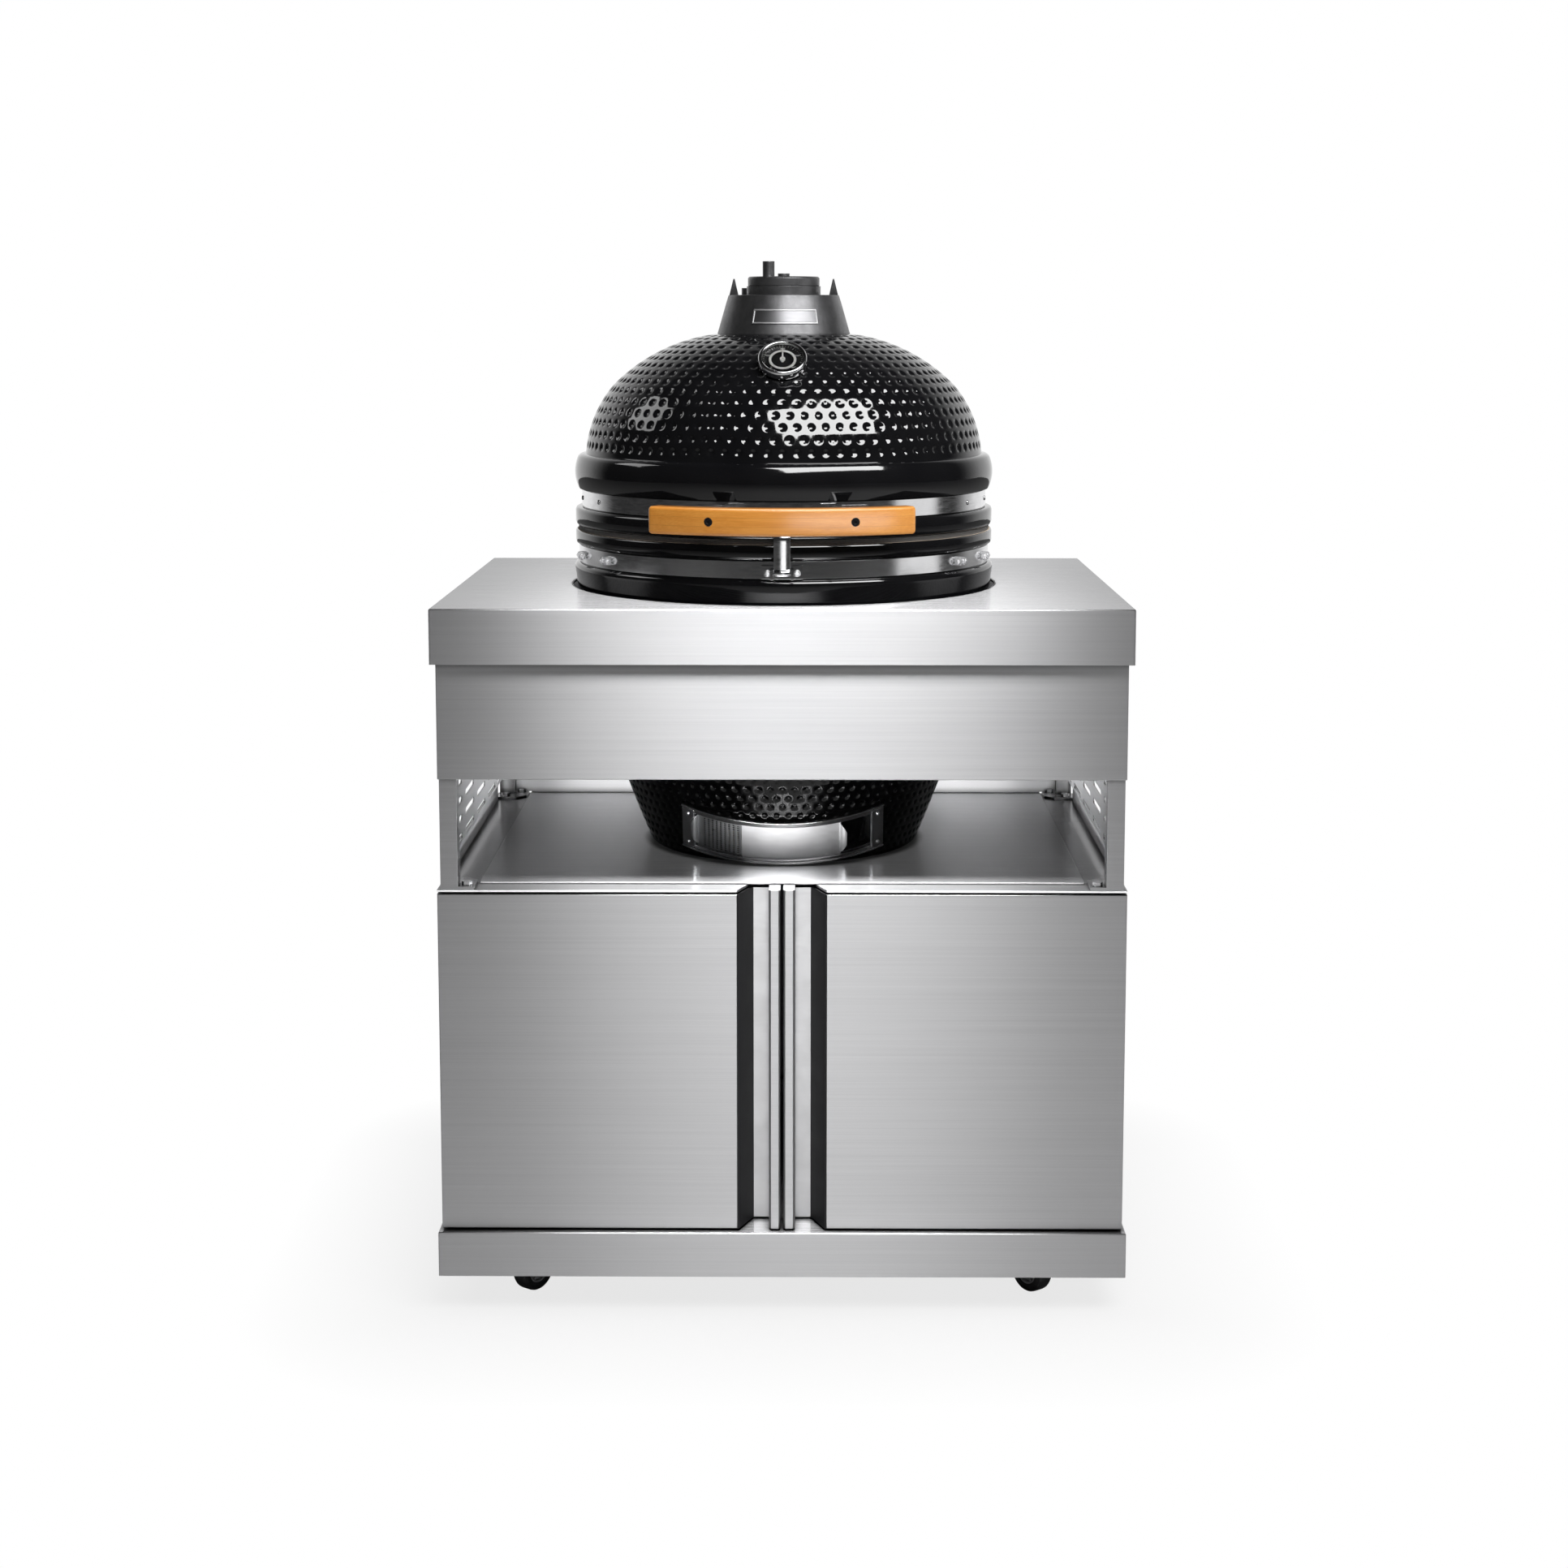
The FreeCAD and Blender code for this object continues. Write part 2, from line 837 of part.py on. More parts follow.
# Draft door, drawn about a Z axis and then tilted to lie on the ceramic
def tilt_draft(shape):
    foot, middle, belly = base_points(0)
    z = plate_top + draft_rise
    tilt = math.radians(draft_tilt)
    surface = radius_at(foot, middle, belly, z)
    piece = shape.copy()
    piece.rotate(V(0, 0, 0), V(1, 0, 0), draft_tilt)
    piece.translate(V(0, -surface + draft_radius * math.cos(tilt), z + draft_radius * math.sin(tilt)))
    return piece


def draft_seat():
    """A shallow pocket for the frame, with room round it."""
    half = draft_height / 2 + running_gap
    turn = draft_span + seat_margin
    return tilt_draft(sector(draft_radius, draft_radius + 3 * draft_depth, -turn, turn, -half, half))


def draft_tracks():
    inner = draft_radius + running_gap + rail_lip
    outer = draft_radius + running_gap + draft_depth - rail_lip
    return inner, outer


def draft_frame():
    half = draft_height / 2
    inner = draft_radius + running_gap
    outer = inner + draft_depth
    window = half - rail_height
    body = sector(inner, outer, -draft_span, draft_span, -half, half)
    opening = sector(inner - 1, outer + 1, -draft_window, draft_window, -window, window)
    low, high = draft_tracks()
    track = sector(low, high, -draft_window, draft_window, -window - groove_depth, window + groove_depth)
    return tilt_draft(cut(body, opening, track))


def slider(inner, span, turn):
    half = draft_height / 2 - rail_height + groove_depth - slider_gap
    return sector(inner, inner + slider_sheet, turn - span / 2, turn + span / 2, -half, half)


def pull(inner, turn):
    """A finger tab that stands out from the edge of a sliding door."""
    thick = math.degrees(pull_sheet / draft_radius)
    half = pull_height / 2
    return sector(inner, inner + slider_sheet + pull_depth, turn - thick / 2, turn + thick / 2, -half, half)


def draft_door():
    low, high = draft_tracks()
    inner = high - slider_gap - slider_sheet
    edge = slider_turn + slider_span / 2 - math.degrees(pull_sheet / draft_radius)
    return tilt_draft(fuse(slider(inner, slider_span, slider_turn), pull(inner, edge)))


def draft_mesh():
    low, high = draft_tracks()
    inner = low + slider_gap
    left = mesh_turn - mesh_span / 2
    edge = left + math.degrees(pull_sheet / draft_radius)
    solid = fuse(slider(inner, mesh_span, mesh_turn), pull(inner, edge))
    free = draft_height - 2 * rail_height
    step_turn = mesh_span / 2 / mesh_columns
    step_z = free / (mesh_rows + 1)
    half_turn = math.degrees(mesh_hole / inner) / 2
    holes = []
    for column in range(mesh_columns):
        turn = left + 2 * step_turn + column * step_turn
        for row in range(mesh_rows):
            z = -free / 2 + (row + 1) * step_z
            holes.append(sector(inner - 1, inner + slider_sheet + 1, turn - half_turn, turn + half_turn,
                                z - mesh_hole / 2, z + mesh_hole / 2))
    return tilt_draft(cut(solid, *holes))


# Bands, their nuts and the gaskets
def base_band():
    outer = lower_band_radius
    return ring(outer - band_sheet, outer, lower_band, lower_band + lower_band_height)


def lid_band():
    outer = upper_band_radius
    return ring(outer - band_sheet, outer, upper_band, upper_band + upper_band_height)


def seated_nuts(radius, z, turns):
    """Hexagon nuts cut to the round of the band that they clamp."""
    core = pillar(radius, 0, 0, z - 2 * nut_radius, z + 2 * nut_radius)
    found = []
    for turn in turns:
        for side in (-1, 1):
            start = on_circle(radius - band_sheet / 2, side * turn, z)
            found.append(cut(hexagon(nut_radius, start, on_circle(1, side * turn), nut_height), core))
    return found


def gasket(z):
    outer = lip_radius - lip_bevel
    return ring(outer - gasket_width, outer, z, z + gasket_thickness)


# Ceramic lid
def dome(k_radius=1.0, k_rise=1.0, crown=crown_radius):
    """The dome's section points, drawn in by two factors."""
    return (
        p(dome_base_radius * k_radius, dome_base),
        p(dome_low_radius * k_radius, dome_base + dome_low_rise * k_rise),
        p(shoulder_radius * k_radius, dome_base + shoulder_rise * k_rise),
        p(dome_high_radius * k_radius, dome_base + dome_high_rise * k_rise),
        p(crown, dome_base + dome_height * k_rise),
    )


def gauge_bore(length):
    """The hole through the dome for the thermometer's stem."""
    return place_dial(rod(stem_radius + stem_fit, V(0, 0, -length), V(0, 0, 1), 2 * length))


def ceramic_lid():
    base, low, shoulder, high, crown = dome()
    k_radius = (dome_base_radius - lid_wall) / dome_base_radius
    k_rise = (dome_height - lid_wall) / dome_height
    inner = dome(k_radius, k_rise, neck_bore)
    seat = upper_band_radius - band_sheet
    collar_top = dome_base - collar_bevel
    solid = turned(
        p(inner[0].x, lid_rim), p(lip_radius, lid_rim), p(lip_radius, upper_groove - lip_bevel / 2),
        p(lip_radius - lip_bevel / 2, upper_groove), p(seat, upper_groove), p(seat, collar_bottom),
        p(collar_low_radius, collar_bottom),
        (p(collar_radius, (collar_bottom + collar_top) / 2), p(collar_low_radius, collar_top)),
        base, (low, shoulder), (high, crown), p(neck_radius, crown.z), p(neck_radius, crown.z + neck_height),
        p(neck_bore, crown.z + neck_height), *reversed(inner),
    )
    return cut(solid, gauge_bore(stem_length))


# Thermometer, drawn with its face up and then laid on the dome
def place_dial(shape):
    base, low, shoulder, high, crown = dome()
    z = dome_base + dial_height
    piece = shape.copy()
    piece.rotate(V(0, 0, 0), V(1, 0, 0), 90 - dial_tilt)
    piece.translate(V(0, -radius_at(shoulder, high, crown, z), z))
    return piece


def thermometer_case():
    back = dial_stand
    front = back + dial_depth
    well = front - dial_well_depth
    edge = (dial_radius - dial_well_radius) / 2
    body = turned(
        p(0, back), p(dial_radius - edge, back), p(dial_radius, back + edge), p(dial_radius, front - edge),
        p(dial_radius - edge, front), p(dial_well_radius, front), p(dial_well_radius, well), p(0, well),
    )
    stem = rod(stem_radius, V(0, 0, back - stem_length), V(0, 0, 1), stem_length)
    boss = rod(dial_radius / 2, V(0, 0, 0), V(0, 0, 1), back)
    shaft_length = needle_lift + needle_thickness + needle_lift
    shaft = rod(needle_shaft_radius, V(0, 0, well), V(0, 0, 1), shaft_length)
    return cut(place_dial(fuse(body, boss, stem, shaft)), dome_solid())


def dome_solid():
    """The solid dome less the thermometer's bore, to seat the case on."""
    base, low, shoulder, high, crown = dome()
    solid = turned(p(0, base.z), base, (low, shoulder), (high, crown), p(0, crown.z))
    return cut(solid, gauge_bore(2 * stem_length))


def thermometer_needle():
    z = dial_stand + dial_depth - dial_well_depth + needle_lift
    half = needle_width / 2
    blade = prism_z(
        z, z + needle_thickness, V(-half, -needle_tail, z), V(half, -needle_tail, z),
        V(half / 4, needle_length, z), V(-half / 4, needle_length, z),
    )
    solid = fuse(blade, rod(needle_hub_radius, V(0, 0, z), V(0, 0, 1), needle_thickness))
    bore = rod(needle_shaft_radius + pin_fit, V(0, 0, z - 1), V(0, 0, 1), needle_thickness + 2)
    return place_dial(cut(solid, bore))


def thermometer_glass():
    top = dial_stand + dial_depth
    return place_dial(rod(dial_well_radius, V(0, 0, top - glass_thickness), V(0, 0, 1), glass_thickness))


# Chimney cap and rotating damper
def ports(z0, z1, turn):
    found = []
    for index in range(port_count):
        first = turn + index * 360 / port_count - port_angle / 2
        found.append(sector(port_inner, port_outer, first, first + port_angle, z0, z1))
    return found


def vent_cap():
    low = dome_top
    high = low + cap_height
    step = low + neck_height + cap_seat_gap
    chamber = cap_top_radius - 2 * cap_wall
    body = turned(
        p(neck_radius + cap_seat_gap, low), p(cap_base_radius, low), p(cap_top_radius, high),
        p(seat_radius, high), p(seat_radius, high + seat_height), p(0, high + seat_height),
        p(0, high - cap_wall), p(chamber, high - cap_wall), p(chamber, step),
        p(neck_radius + cap_seat_gap, step),
    )
    lug = cap_lug(high)
    stub_at = on_circle(cap_top_radius - stub_radius - stub_edge, stub_turn, high)
    stub = Part.makeCylinder(stub_radius, stub_height, stub_at)
    solid = fuse(body, lug, mirror_x(lug), stub)
    shaft_hole = pillar(damper_shaft, 0, 0, high - cap_wall, high + seat_height)
    return cut(solid, shaft_hole, *ports(high - cap_wall - 1, high + seat_height + 1, 0))


def cap_lug(z):
    """A pointed lug on the rim, wide at its foot."""
    x = cap_top_radius - lug_edge
    foot = lug_width / 2
    tip = lug_width / 6
    top = z + lug_height
    return prism_x(x - lug_thickness, x, (-foot, z), (foot, z), (tip, top), (-tip, top))


def damper_levels():
    seat = dome_top + cap_height + seat_height + running_gap
    return seat, seat + damper_height


def damper_disc():
    low, high = damper_levels()
    disc = turned(
        p(damper_shaft + pin_fit, low), p(damper_radius, low), p(damper_radius, high - damper_edge),
        p(damper_radius - damper_edge, high), p(damper_shaft + pin_fit, high),
    )
    knob_at = on_circle(knob_place, knob_turn, high - damper_edge)
    knob = Part.makeCylinder(knob_radius, knob_height + damper_edge, knob_at)
    turn = 360 / port_count / 2
    return fuse(cut(disc, *ports(low - 1, high + 1, turn)), knob)


def damper_bolt():
    low, high = damper_levels()
    under = dome_top + cap_height - cap_wall
    return fuse(
        pillar(damper_shaft, 0, 0, under, high + running_gap),
        pillar(shaft_head_radius, 0, 0, under - shaft_head_height, under),
        pillar(shaft_head_radius, 0, 0, high + running_gap, high + running_gap + shaft_head_height),
    )


# Wooden handle on two arms
def handle_levels():
    middle = lid_rim + handle_rise
    return middle - handle_height / 2, middle + handle_height / 2


def handle():
    low, high = handle_levels()
    outer = handle_inner + handle_thickness
    half = math.degrees(math.asin(handle_chord / 2 / (handle_inner + handle_thickness / 2)))
    bar = sector(handle_inner, outer, -half, half, low, high)
    eased = bar.makeChamfer(handle_bevel, bar.Edges)
    bores = []
    for side in (-1, 1):
        bores += screw_solids(side, screw_radius, screw_head_radius)
    return cut(eased, *bores)


def screw_solids(side, shank, head):
    low, high = handle_levels()
    z = (low + high) / 2
    out = on_circle(1, side * screw_turn)
    outer = handle_inner + handle_thickness
    start = on_circle(handle_inner - arm_sheet, side * screw_turn, z)
    length = handle_thickness + arm_sheet
    tip = on_circle(outer - screw_head_height, side * screw_turn, z)
    return [rod(shank, start, out, length), rod(head, tip, out, screw_head_height)]


def handle_screw(side):
    """A countersunk screw whose head ends just below the wood."""
    shank, head = screw_solids(side, screw_radius, screw_head_radius)
    outer = handle_inner + handle_thickness - screw_sink
    return cut(fuse(shank, head), ring(outer, 2 * outer, 0, 2 * top_z))


def handle_arm(side):
    """A strap bent out from the lid's band to the back of the handle."""
    low, high = handle_levels()
    foot = upper_band
    top = upper_band + upper_band_height - groove_edge
    seat = upper_band_radius
    bend = arm_leg_turn - math.degrees(arm_sheet / seat)
    inner = sector(seat, seat + arm_sheet, *turns(side, arm_inner_turn, arm_leg_turn), foot, top)
    leg = sector(seat, handle_inner, *turns(side, bend, arm_leg_turn), foot, top)
    tab = turns(side, bend, arm_outer_turn)
    outer = sector(handle_inner - arm_sheet, handle_inner, *tab, low + handle_bevel, top)
    solid = fuse(inner, leg, outer)
    return cut(solid, screw_solids(side, screw_radius, screw_head_radius)[0])


def turns(side, a, b):
    """Two angles on one side of the front, the smaller first."""
    return sorted((side * a, side * b))


# Front latch
def latch_pivot():
    y = -lip_radius - latch_stand - latch_thickness / 2
    return y, lower_band + latch_pin_rise


def latch_bracket():
    """A plate on the lower band with two ears and the latch's pin."""
    y, z = latch_pivot()
    half = latch_width / 2 + running_gap
    low = lower_band
    side = latch_plate_width / 2
    inner = -lower_band_radius / 2
    plate = block(-side, side, y + latch_thickness, inner, low, low + latch_plate_height)
    ear = block(half, half + latch_ear, y - latch_nose, inner, low, z + latch_thickness)
    lip = pillar(lip_radius + running_gap, 0, 0, base_lip - running_gap, base_rim)
    core = pillar(lower_band_radius, 0, 0, 0, base_rim)
    pin = rod(latch_pin_radius, V(-half - latch_ear, y, z), V(1, 0, 0), 2 * (half + latch_ear))
    return fuse(cut(fuse(plate, ear, mirror_x(ear)), core, lip), pin)


def latch_arm():
    y, z = latch_pivot()
    half = latch_width / 2
    back = y + latch_thickness / 2
    front = y - latch_thickness / 2
    bar = block(-half, half, front, back, z, z + latch_length - latch_thickness)
    tip = rod(latch_thickness / 2, V(-half, y, z + latch_length - latch_thickness), V(1, 0, 0), latch_width)
    eye = rod(latch_thickness, V(-half, y, z), V(1, 0, 0), latch_width)
    solid = fuse(bar, tip, eye)
    lip = pillar(lip_radius + running_gap, 0, 0, 0, base_rim)
    return cut(solid, rod(latch_pin_radius + pin_fit, V(-half - 1, y, z), V(1, 0, 0), latch_width + 2), lip)


# Rear hinge with two coil springs
def hinge_axis():
    y = handle_inner + handle_thickness - hinge_boss_radius
    return y, base_rim


def ear_at(outer_x, *outline):
    """A hinge ear with a round boss, from its (y, z) outline."""
    y, z = hinge_axis()
    ear = prism_x(outer_x - hinge_ear, outer_x, *outline)
    return fuse(ear, rod(hinge_boss_radius, V(outer_x - hinge_ear, y, z), V(1, 0, 0), hinge_ear))


def band_strap(radius, x, low, high):
    """The bent strip that clamps a bracket's ears to a band."""
    strap = ring(radius, radius + bracket_sheet, low, high)
    return strap.common(block(-x, x, 0, 2 * radius, low, high))


def hinge_base_bracket():
    y, z = hinge_axis()
    low = lower_band
    high = lower_band + lower_band_height
    seat = lower_band_radius
    x = hinge_half_width
    b = hinge_boss_radius
    inner = seat / 2
    ear = ear_at(
        x, (inner, low), (y - ear_taper * b, low), (y + b * ear_side, z - b * ear_low),
        (y - b * ear_side, z + b * ear_low), (lip_radius + lip_clearance, high), (inner, high),
    )
    shelf_top = z - shelf_drop
    shelf = block(-x, x, lip_radius, y + b, shelf_top - shelf_thickness, shelf_top)
    band = pillar(seat, 0, 0, low, high)
    lip = pillar(lip_radius + lip_clearance, 0, 0, high, z + b * 2)
    joint = pillar(seat + bracket_sheet / 2, 0, 0, low, high)
    ears = cut(fuse(ear, mirror_x(ear)), band, lip)
    solid = fuse(ears, band_strap(seat, x, low, high), cut(shelf, joint, lip))
    return cut(solid, rod(hinge_pin_radius, V(-2 * x, y, z), V(1, 0, 0), 4 * x))


def hinge_lid_bracket():
    y, z = hinge_axis()
    low = upper_band
    high = upper_band + upper_band_height
    seat = upper_band_radius
    x = hinge_half_width - hinge_ear - hinge_ear_gap
    b = hinge_boss_radius
    inner = seat / 2
    ear = ear_at(
        x, (inner, high), (y - ear_taper * b, high), (y + b * ear_side, z + b * ear_low),
        (y - b * ear_side, z - b * ear_low), (lip_radius, low), (inner, low),
    )
    band = pillar(seat, 0, 0, low, high)
    lip = pillar(lip_radius + lip_clearance, 0, 0, z - 2 * b, low)
    solid = fuse(cut(fuse(ear, mirror_x(ear)), band, lip), band_strap(seat, x, low, high))
    return cut(solid, rod(hinge_pin_radius + hinge_fit, V(-2 * x, y, z), V(1, 0, 0), 4 * x))


def hinge_pin():
    y, z = hinge_axis()
    x = hinge_half_width
    return fuse(
        rod(hinge_pin_radius, V(-x, y, z), V(1, 0, 0), 2 * x),
        rod(hinge_pin_head_radius, V(-x - hinge_pin_head, y, z), V(1, 0, 0), hinge_pin_head),
        rod(hinge_pin_head_radius, V(x, y, z), V(1, 0, 0), hinge_pin_head),
    )


def arc_along(start, tangent, end):
    """The arc that leaves a point along a tangent and ends at another."""
    chord = end - start
    along = V(chord).normalize()
    bend = tangent.getAngle(along)
    side = (tangent - along * tangent.dot(along)).normalize()
    middle = (start + end) * 0.5 + side * (chord.Length / 2 * math.tan(bend / 2))
    return Part.Arc(start, middle, end).toShape()


def biarc(start, t0, end, t1):
    """Two arcs that join two points along their tangents."""
    v = end - start
    t = t0 + t1
    rest = 2 * (1 - t0.dot(t1))
    reach = (math.sqrt(v.dot(t) ** 2 + rest * v.dot(v)) - v.dot(t)) / rest
    joint = (start + end + (t0 - t1) * reach) * 0.5
    arrive = (joint - start - t0 * reach).normalize()
    return [arc_along(start, t0, joint), arc_along(joint, arrive, end)]


def spring_radius():
    return hinge_pin_radius + spring_pin_gap + spring_wire / 2


def spring(x0):
    """A coil round the hinge pin whose two legs stand on the shelf."""
    y, z = hinge_axis()
    r = spring_radius()
    foot_z = z - shelf_drop
    quarters = 4 * spring_turns + 2

    def place(index):
        a = math.pi - index * math.pi / 2
        return V(x0 + index * spring_pitch / 4, y + r * math.cos(a), z + r * math.sin(a))

    def heading(index):
        if index == 0:
            return V(0, 0, 1)
        if index == quarters:
            return V(0, 0, -1)
        a = math.pi - index * math.pi / 2
        return V(spring_pitch / (2 * math.pi), r * math.sin(a), -r * math.cos(a)).normalize()

    first = place(0)
    last = place(quarters)
    edges = [Part.LineSegment(V(first.x, first.y, foot_z), first).toShape()]
    for index in range(quarters):
        edges += biarc(place(index), heading(index), place(index + 1), heading(index + 1))
    edges.append(Part.LineSegment(last, V(last.x, last.y, foot_z)).toShape())
    spine = Part.Wire(edges)
    section = []
    for index in range(spring_sides + 1):
        a = 2 * math.pi * (index + 0.5) / spring_sides
        reach = spring_wire / 2
        section.append(V(first.x + reach * math.cos(a), first.y + reach * math.sin(a), foot_z))
    tube = spine.makePipeShell([Part.makePolygon(section)], True)
    return tube, spine


def least_gap(spine):
    """The least gap of a coil to itself, from points along its spine."""
    count = 400
    points = spine.discretize(Number=count)
    step = spine.Length / (count - 1)
    apart = int(math.pi * spring_radius() / step)
    best = spine.Length
    for i, a in enumerate(points):
        for b in points[i + apart:]:
            best = min(best, a.distanceToPoint(b))
    return best - spring_wire


def hinge_springs():
    length = (spring_turns + 0.5) * spring_pitch
    gap = spring_side_gap + spring_wire / 2
    start = hinge_half_width - 2 * hinge_ear - hinge_ear_gap - gap - length
    tube, spine = spring(start)
    other, other_spine = spring(-start - length)
    print("spring self gap %.2f mm, %d turns each" % (least_gap(spine), spring_turns))
    return [tube, other]


# Firebox, ring and grates
def box_inset(wall=0.0):
    """How far the firebox, or a wall of it, is set in from the body."""
    return base_wall + box_gap + wall


def box_top():
    return base_rim - box_drop


def firebox():
    """A loose ceramic bowl with a shelf for the grate and an air inlet."""
    outer = box_inset()
    inner = box_inset(box_wall)
    foot, middle, belly = base_points(outer)
    in_middle = base_points(inner)[1]
    low = foot.z
    floor = low + box_floor
    shelf = low + grate_ledge
    top = box_top()
    in_shelf = wall_radius(inner, shelf)
    ledge = in_shelf - box_wall
    solid = turned(
        p(ash_hole, low), foot, middle, p(wall_radius(outer, top), top), p(wall_radius(inner, top), top),
        in_middle, p(in_shelf, shelf), p(ledge, shelf), p(ledge, floor), p(ash_hole, floor),
    )
    half = draft_port_width / 2
    return cut(solid, block(-half, half, -belly_radius, -ledge / 2, floor, floor + box_port_height))


def fire_ring():
    """The ring that stands on the firebox and carries the cooking grate."""
    outer = box_inset()
    belly = base_points(outer)[2]
    low = box_top() + running_gap
    high = base_rim - ring_drop
    bottom = wall_radius(outer, low)
    return turned(
        p(bottom - ring_wall, low), p(bottom, low), belly, p(belly.x, high), p(belly.x - ring_wall, high),
        p(belly.x - ring_wall, belly.z),
    )


def charcoal_grate():
    low = plate_top + base_floor + grate_ledge
    bottom = low + running_gap
    radius = wall_radius(box_inset(box_wall), low) - running_gap
    solid = pillar(radius, 0, 0, bottom, bottom + grate_thickness)
    slots = []
    for index in range(-grate_slots_per_side, grate_slots_per_side + 1):
        x = index * grate_slot_pitch
        half = math.sqrt((radius - grate_thickness * 2) ** 2 - x * x)
        slot = grate_slot / 2
        slots.append(block(x - slot, x + slot, -half, half, low, low + 2 * grate_thickness))
    return cut(solid, *slots)


def cooking_grate():
    outer = base_points(box_inset())[2].x - cooking_edge_gap
    low = base_rim - ring_drop + running_gap
    high = low + bar_height
    inner = outer - bar_height
    bars = []
    count = int((inner - bar_width) / bar_pitch)
    for index in range(-count, count + 1):
        x = index * bar_pitch
        half = math.sqrt((inner + bar_width / 2) ** 2 - x * x)
        bars.append(block(x - bar_width / 2, x + bar_width / 2, -half, half, low, high))
    return ring(inner, outer, low, high).fuse(bars).removeSplitter()


# Write every piece
os.makedirs("parts", exist_ok=True)

save("worktop", worktop())
save("cutout_trim", cutout_trim())
save("apron", apron())
save("posts", *corners(post()))
save("post_bolts", *[piece for x, y in bolt_places() for piece in corners(bolt(x, y))])
save("vent_panel_right", vent_panel())
save("vent_panel_left", mirror_x(vent_panel()))
save("upper_back_panel", upper_back_panel())
save("deck", deck())
save("deck_plate", deck_plate())
save("stiffening_channels", *channels())
save("cabinet_side_right", cabinet_side())
save("cabinet_side_left", mirror_x(cabinet_side()))
save("cabinet_back", cabinet_back())
save("plinth", plinth())

save("door_right_panel", door_panel())
save("door_right_recess", door_recess())
save("door_right_grip", door_grip())
save("door_right_pins", *door_pins())
save("door_left_panel", mirror_x(door_panel()))
save("door_left_recess", mirror_x(door_recess()))
save("door_left_grip", mirror_x(door_grip()))
save("door_left_pins", *[mirror_x(pin) for pin in door_pins()])

caster_places = {"fl": (-1, -1), "fr": (1, -1), "rl": (-1, 1), "rr": (1, 1)}
save("caster_plates", *[at_corner(caster_plate(), *sides) for sides in caster_places.values()])
for corner, sides in caster_places.items():
    save("caster_fork_" + corner, at_corner(caster_fork(), *sides))
    save("caster_wheel_" + corner, at_corner(caster_wheel(), *sides))

save("ceramic_base", ceramic_base())
save("base_gasket", gasket(base_rim))
save("base_band", base_band())
band_middle = lower_band + lower_band_height / 2
save("base_band_nuts", *seated_nuts(lower_band_radius, band_middle, nut_turns))
save("draft_frame", draft_frame())
save("draft_door", draft_door())
save("draft_mesh", draft_mesh())
save("latch_bracket", latch_bracket())
save("latch_arm", latch_arm())
save("firebox", firebox())
save("fire_ring", fire_ring())
save("charcoal_grate", charcoal_grate())
save("cooking_grate", cooking_grate())
save("hinge_base_bracket", hinge_base_bracket())
save("hinge_pin", hinge_pin())
save("hinge_springs", *hinge_springs())

save("ceramic_lid", ceramic_lid())
save("lid_gasket", gasket(base_rim + gasket_thickness + rim_gap))
save("lid_band", lid_band())
lid_band_middle = upper_band + upper_band_height / 2
lid_nuts = seated_nuts(upper_band_radius, lid_band_middle, lid_nut_turns)
save("lid_fasteners", handle_screw(-1), handle_screw(1), *lid_nuts)
save("hinge_lid_bracket", hinge_lid_bracket())
save("handle_arms", handle_arm(-1), handle_arm(1))
save("handle", handle())
save("vent_cap", vent_cap(), damper_bolt())
save("damper_disc", damper_disc())
save("thermometer_case", thermometer_case())
save("thermometer_needle", thermometer_needle())
save("thermometer_glass", thermometer_glass())
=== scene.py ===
from collections import namedtuple
import json
from math import asin, atan2, copysign, cos, degrees, dist, hypot, pi, radians, sin

import bmesh
import bpy
from mathutils import Matrix, Vector

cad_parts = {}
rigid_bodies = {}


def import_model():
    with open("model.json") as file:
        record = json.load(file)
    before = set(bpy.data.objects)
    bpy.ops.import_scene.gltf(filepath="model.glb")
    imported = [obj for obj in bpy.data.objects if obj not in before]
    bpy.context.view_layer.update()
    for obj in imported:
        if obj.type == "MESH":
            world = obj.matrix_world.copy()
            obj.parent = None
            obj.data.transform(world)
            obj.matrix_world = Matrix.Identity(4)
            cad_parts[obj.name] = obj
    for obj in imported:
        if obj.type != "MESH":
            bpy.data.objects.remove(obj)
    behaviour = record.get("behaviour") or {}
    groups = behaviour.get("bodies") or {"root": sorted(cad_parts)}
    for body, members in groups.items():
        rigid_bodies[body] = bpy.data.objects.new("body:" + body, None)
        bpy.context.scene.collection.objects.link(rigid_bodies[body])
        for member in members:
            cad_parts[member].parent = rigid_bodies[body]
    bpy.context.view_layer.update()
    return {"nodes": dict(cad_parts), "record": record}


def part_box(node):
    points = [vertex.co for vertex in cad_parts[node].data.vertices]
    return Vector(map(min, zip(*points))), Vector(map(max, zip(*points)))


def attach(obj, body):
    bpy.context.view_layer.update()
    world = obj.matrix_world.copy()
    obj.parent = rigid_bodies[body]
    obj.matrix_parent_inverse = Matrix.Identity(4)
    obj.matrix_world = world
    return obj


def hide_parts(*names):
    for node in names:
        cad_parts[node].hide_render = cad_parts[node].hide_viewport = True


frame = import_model()
nodes = frame["nodes"]

# Sizes are in millimetres and become metres where a mesh is made
mm = 0.001
full_turn = 2 * pi
round_count, neck_count = 192, 96
white = (1.0, 1.0, 1.0, 1.0)


def low(node):
    """The lowest corner of a CAD node's box."""
    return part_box(node)[0] / mm


def high(node):
    """The highest corner of a CAD node's box."""
    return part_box(node)[1] / mm


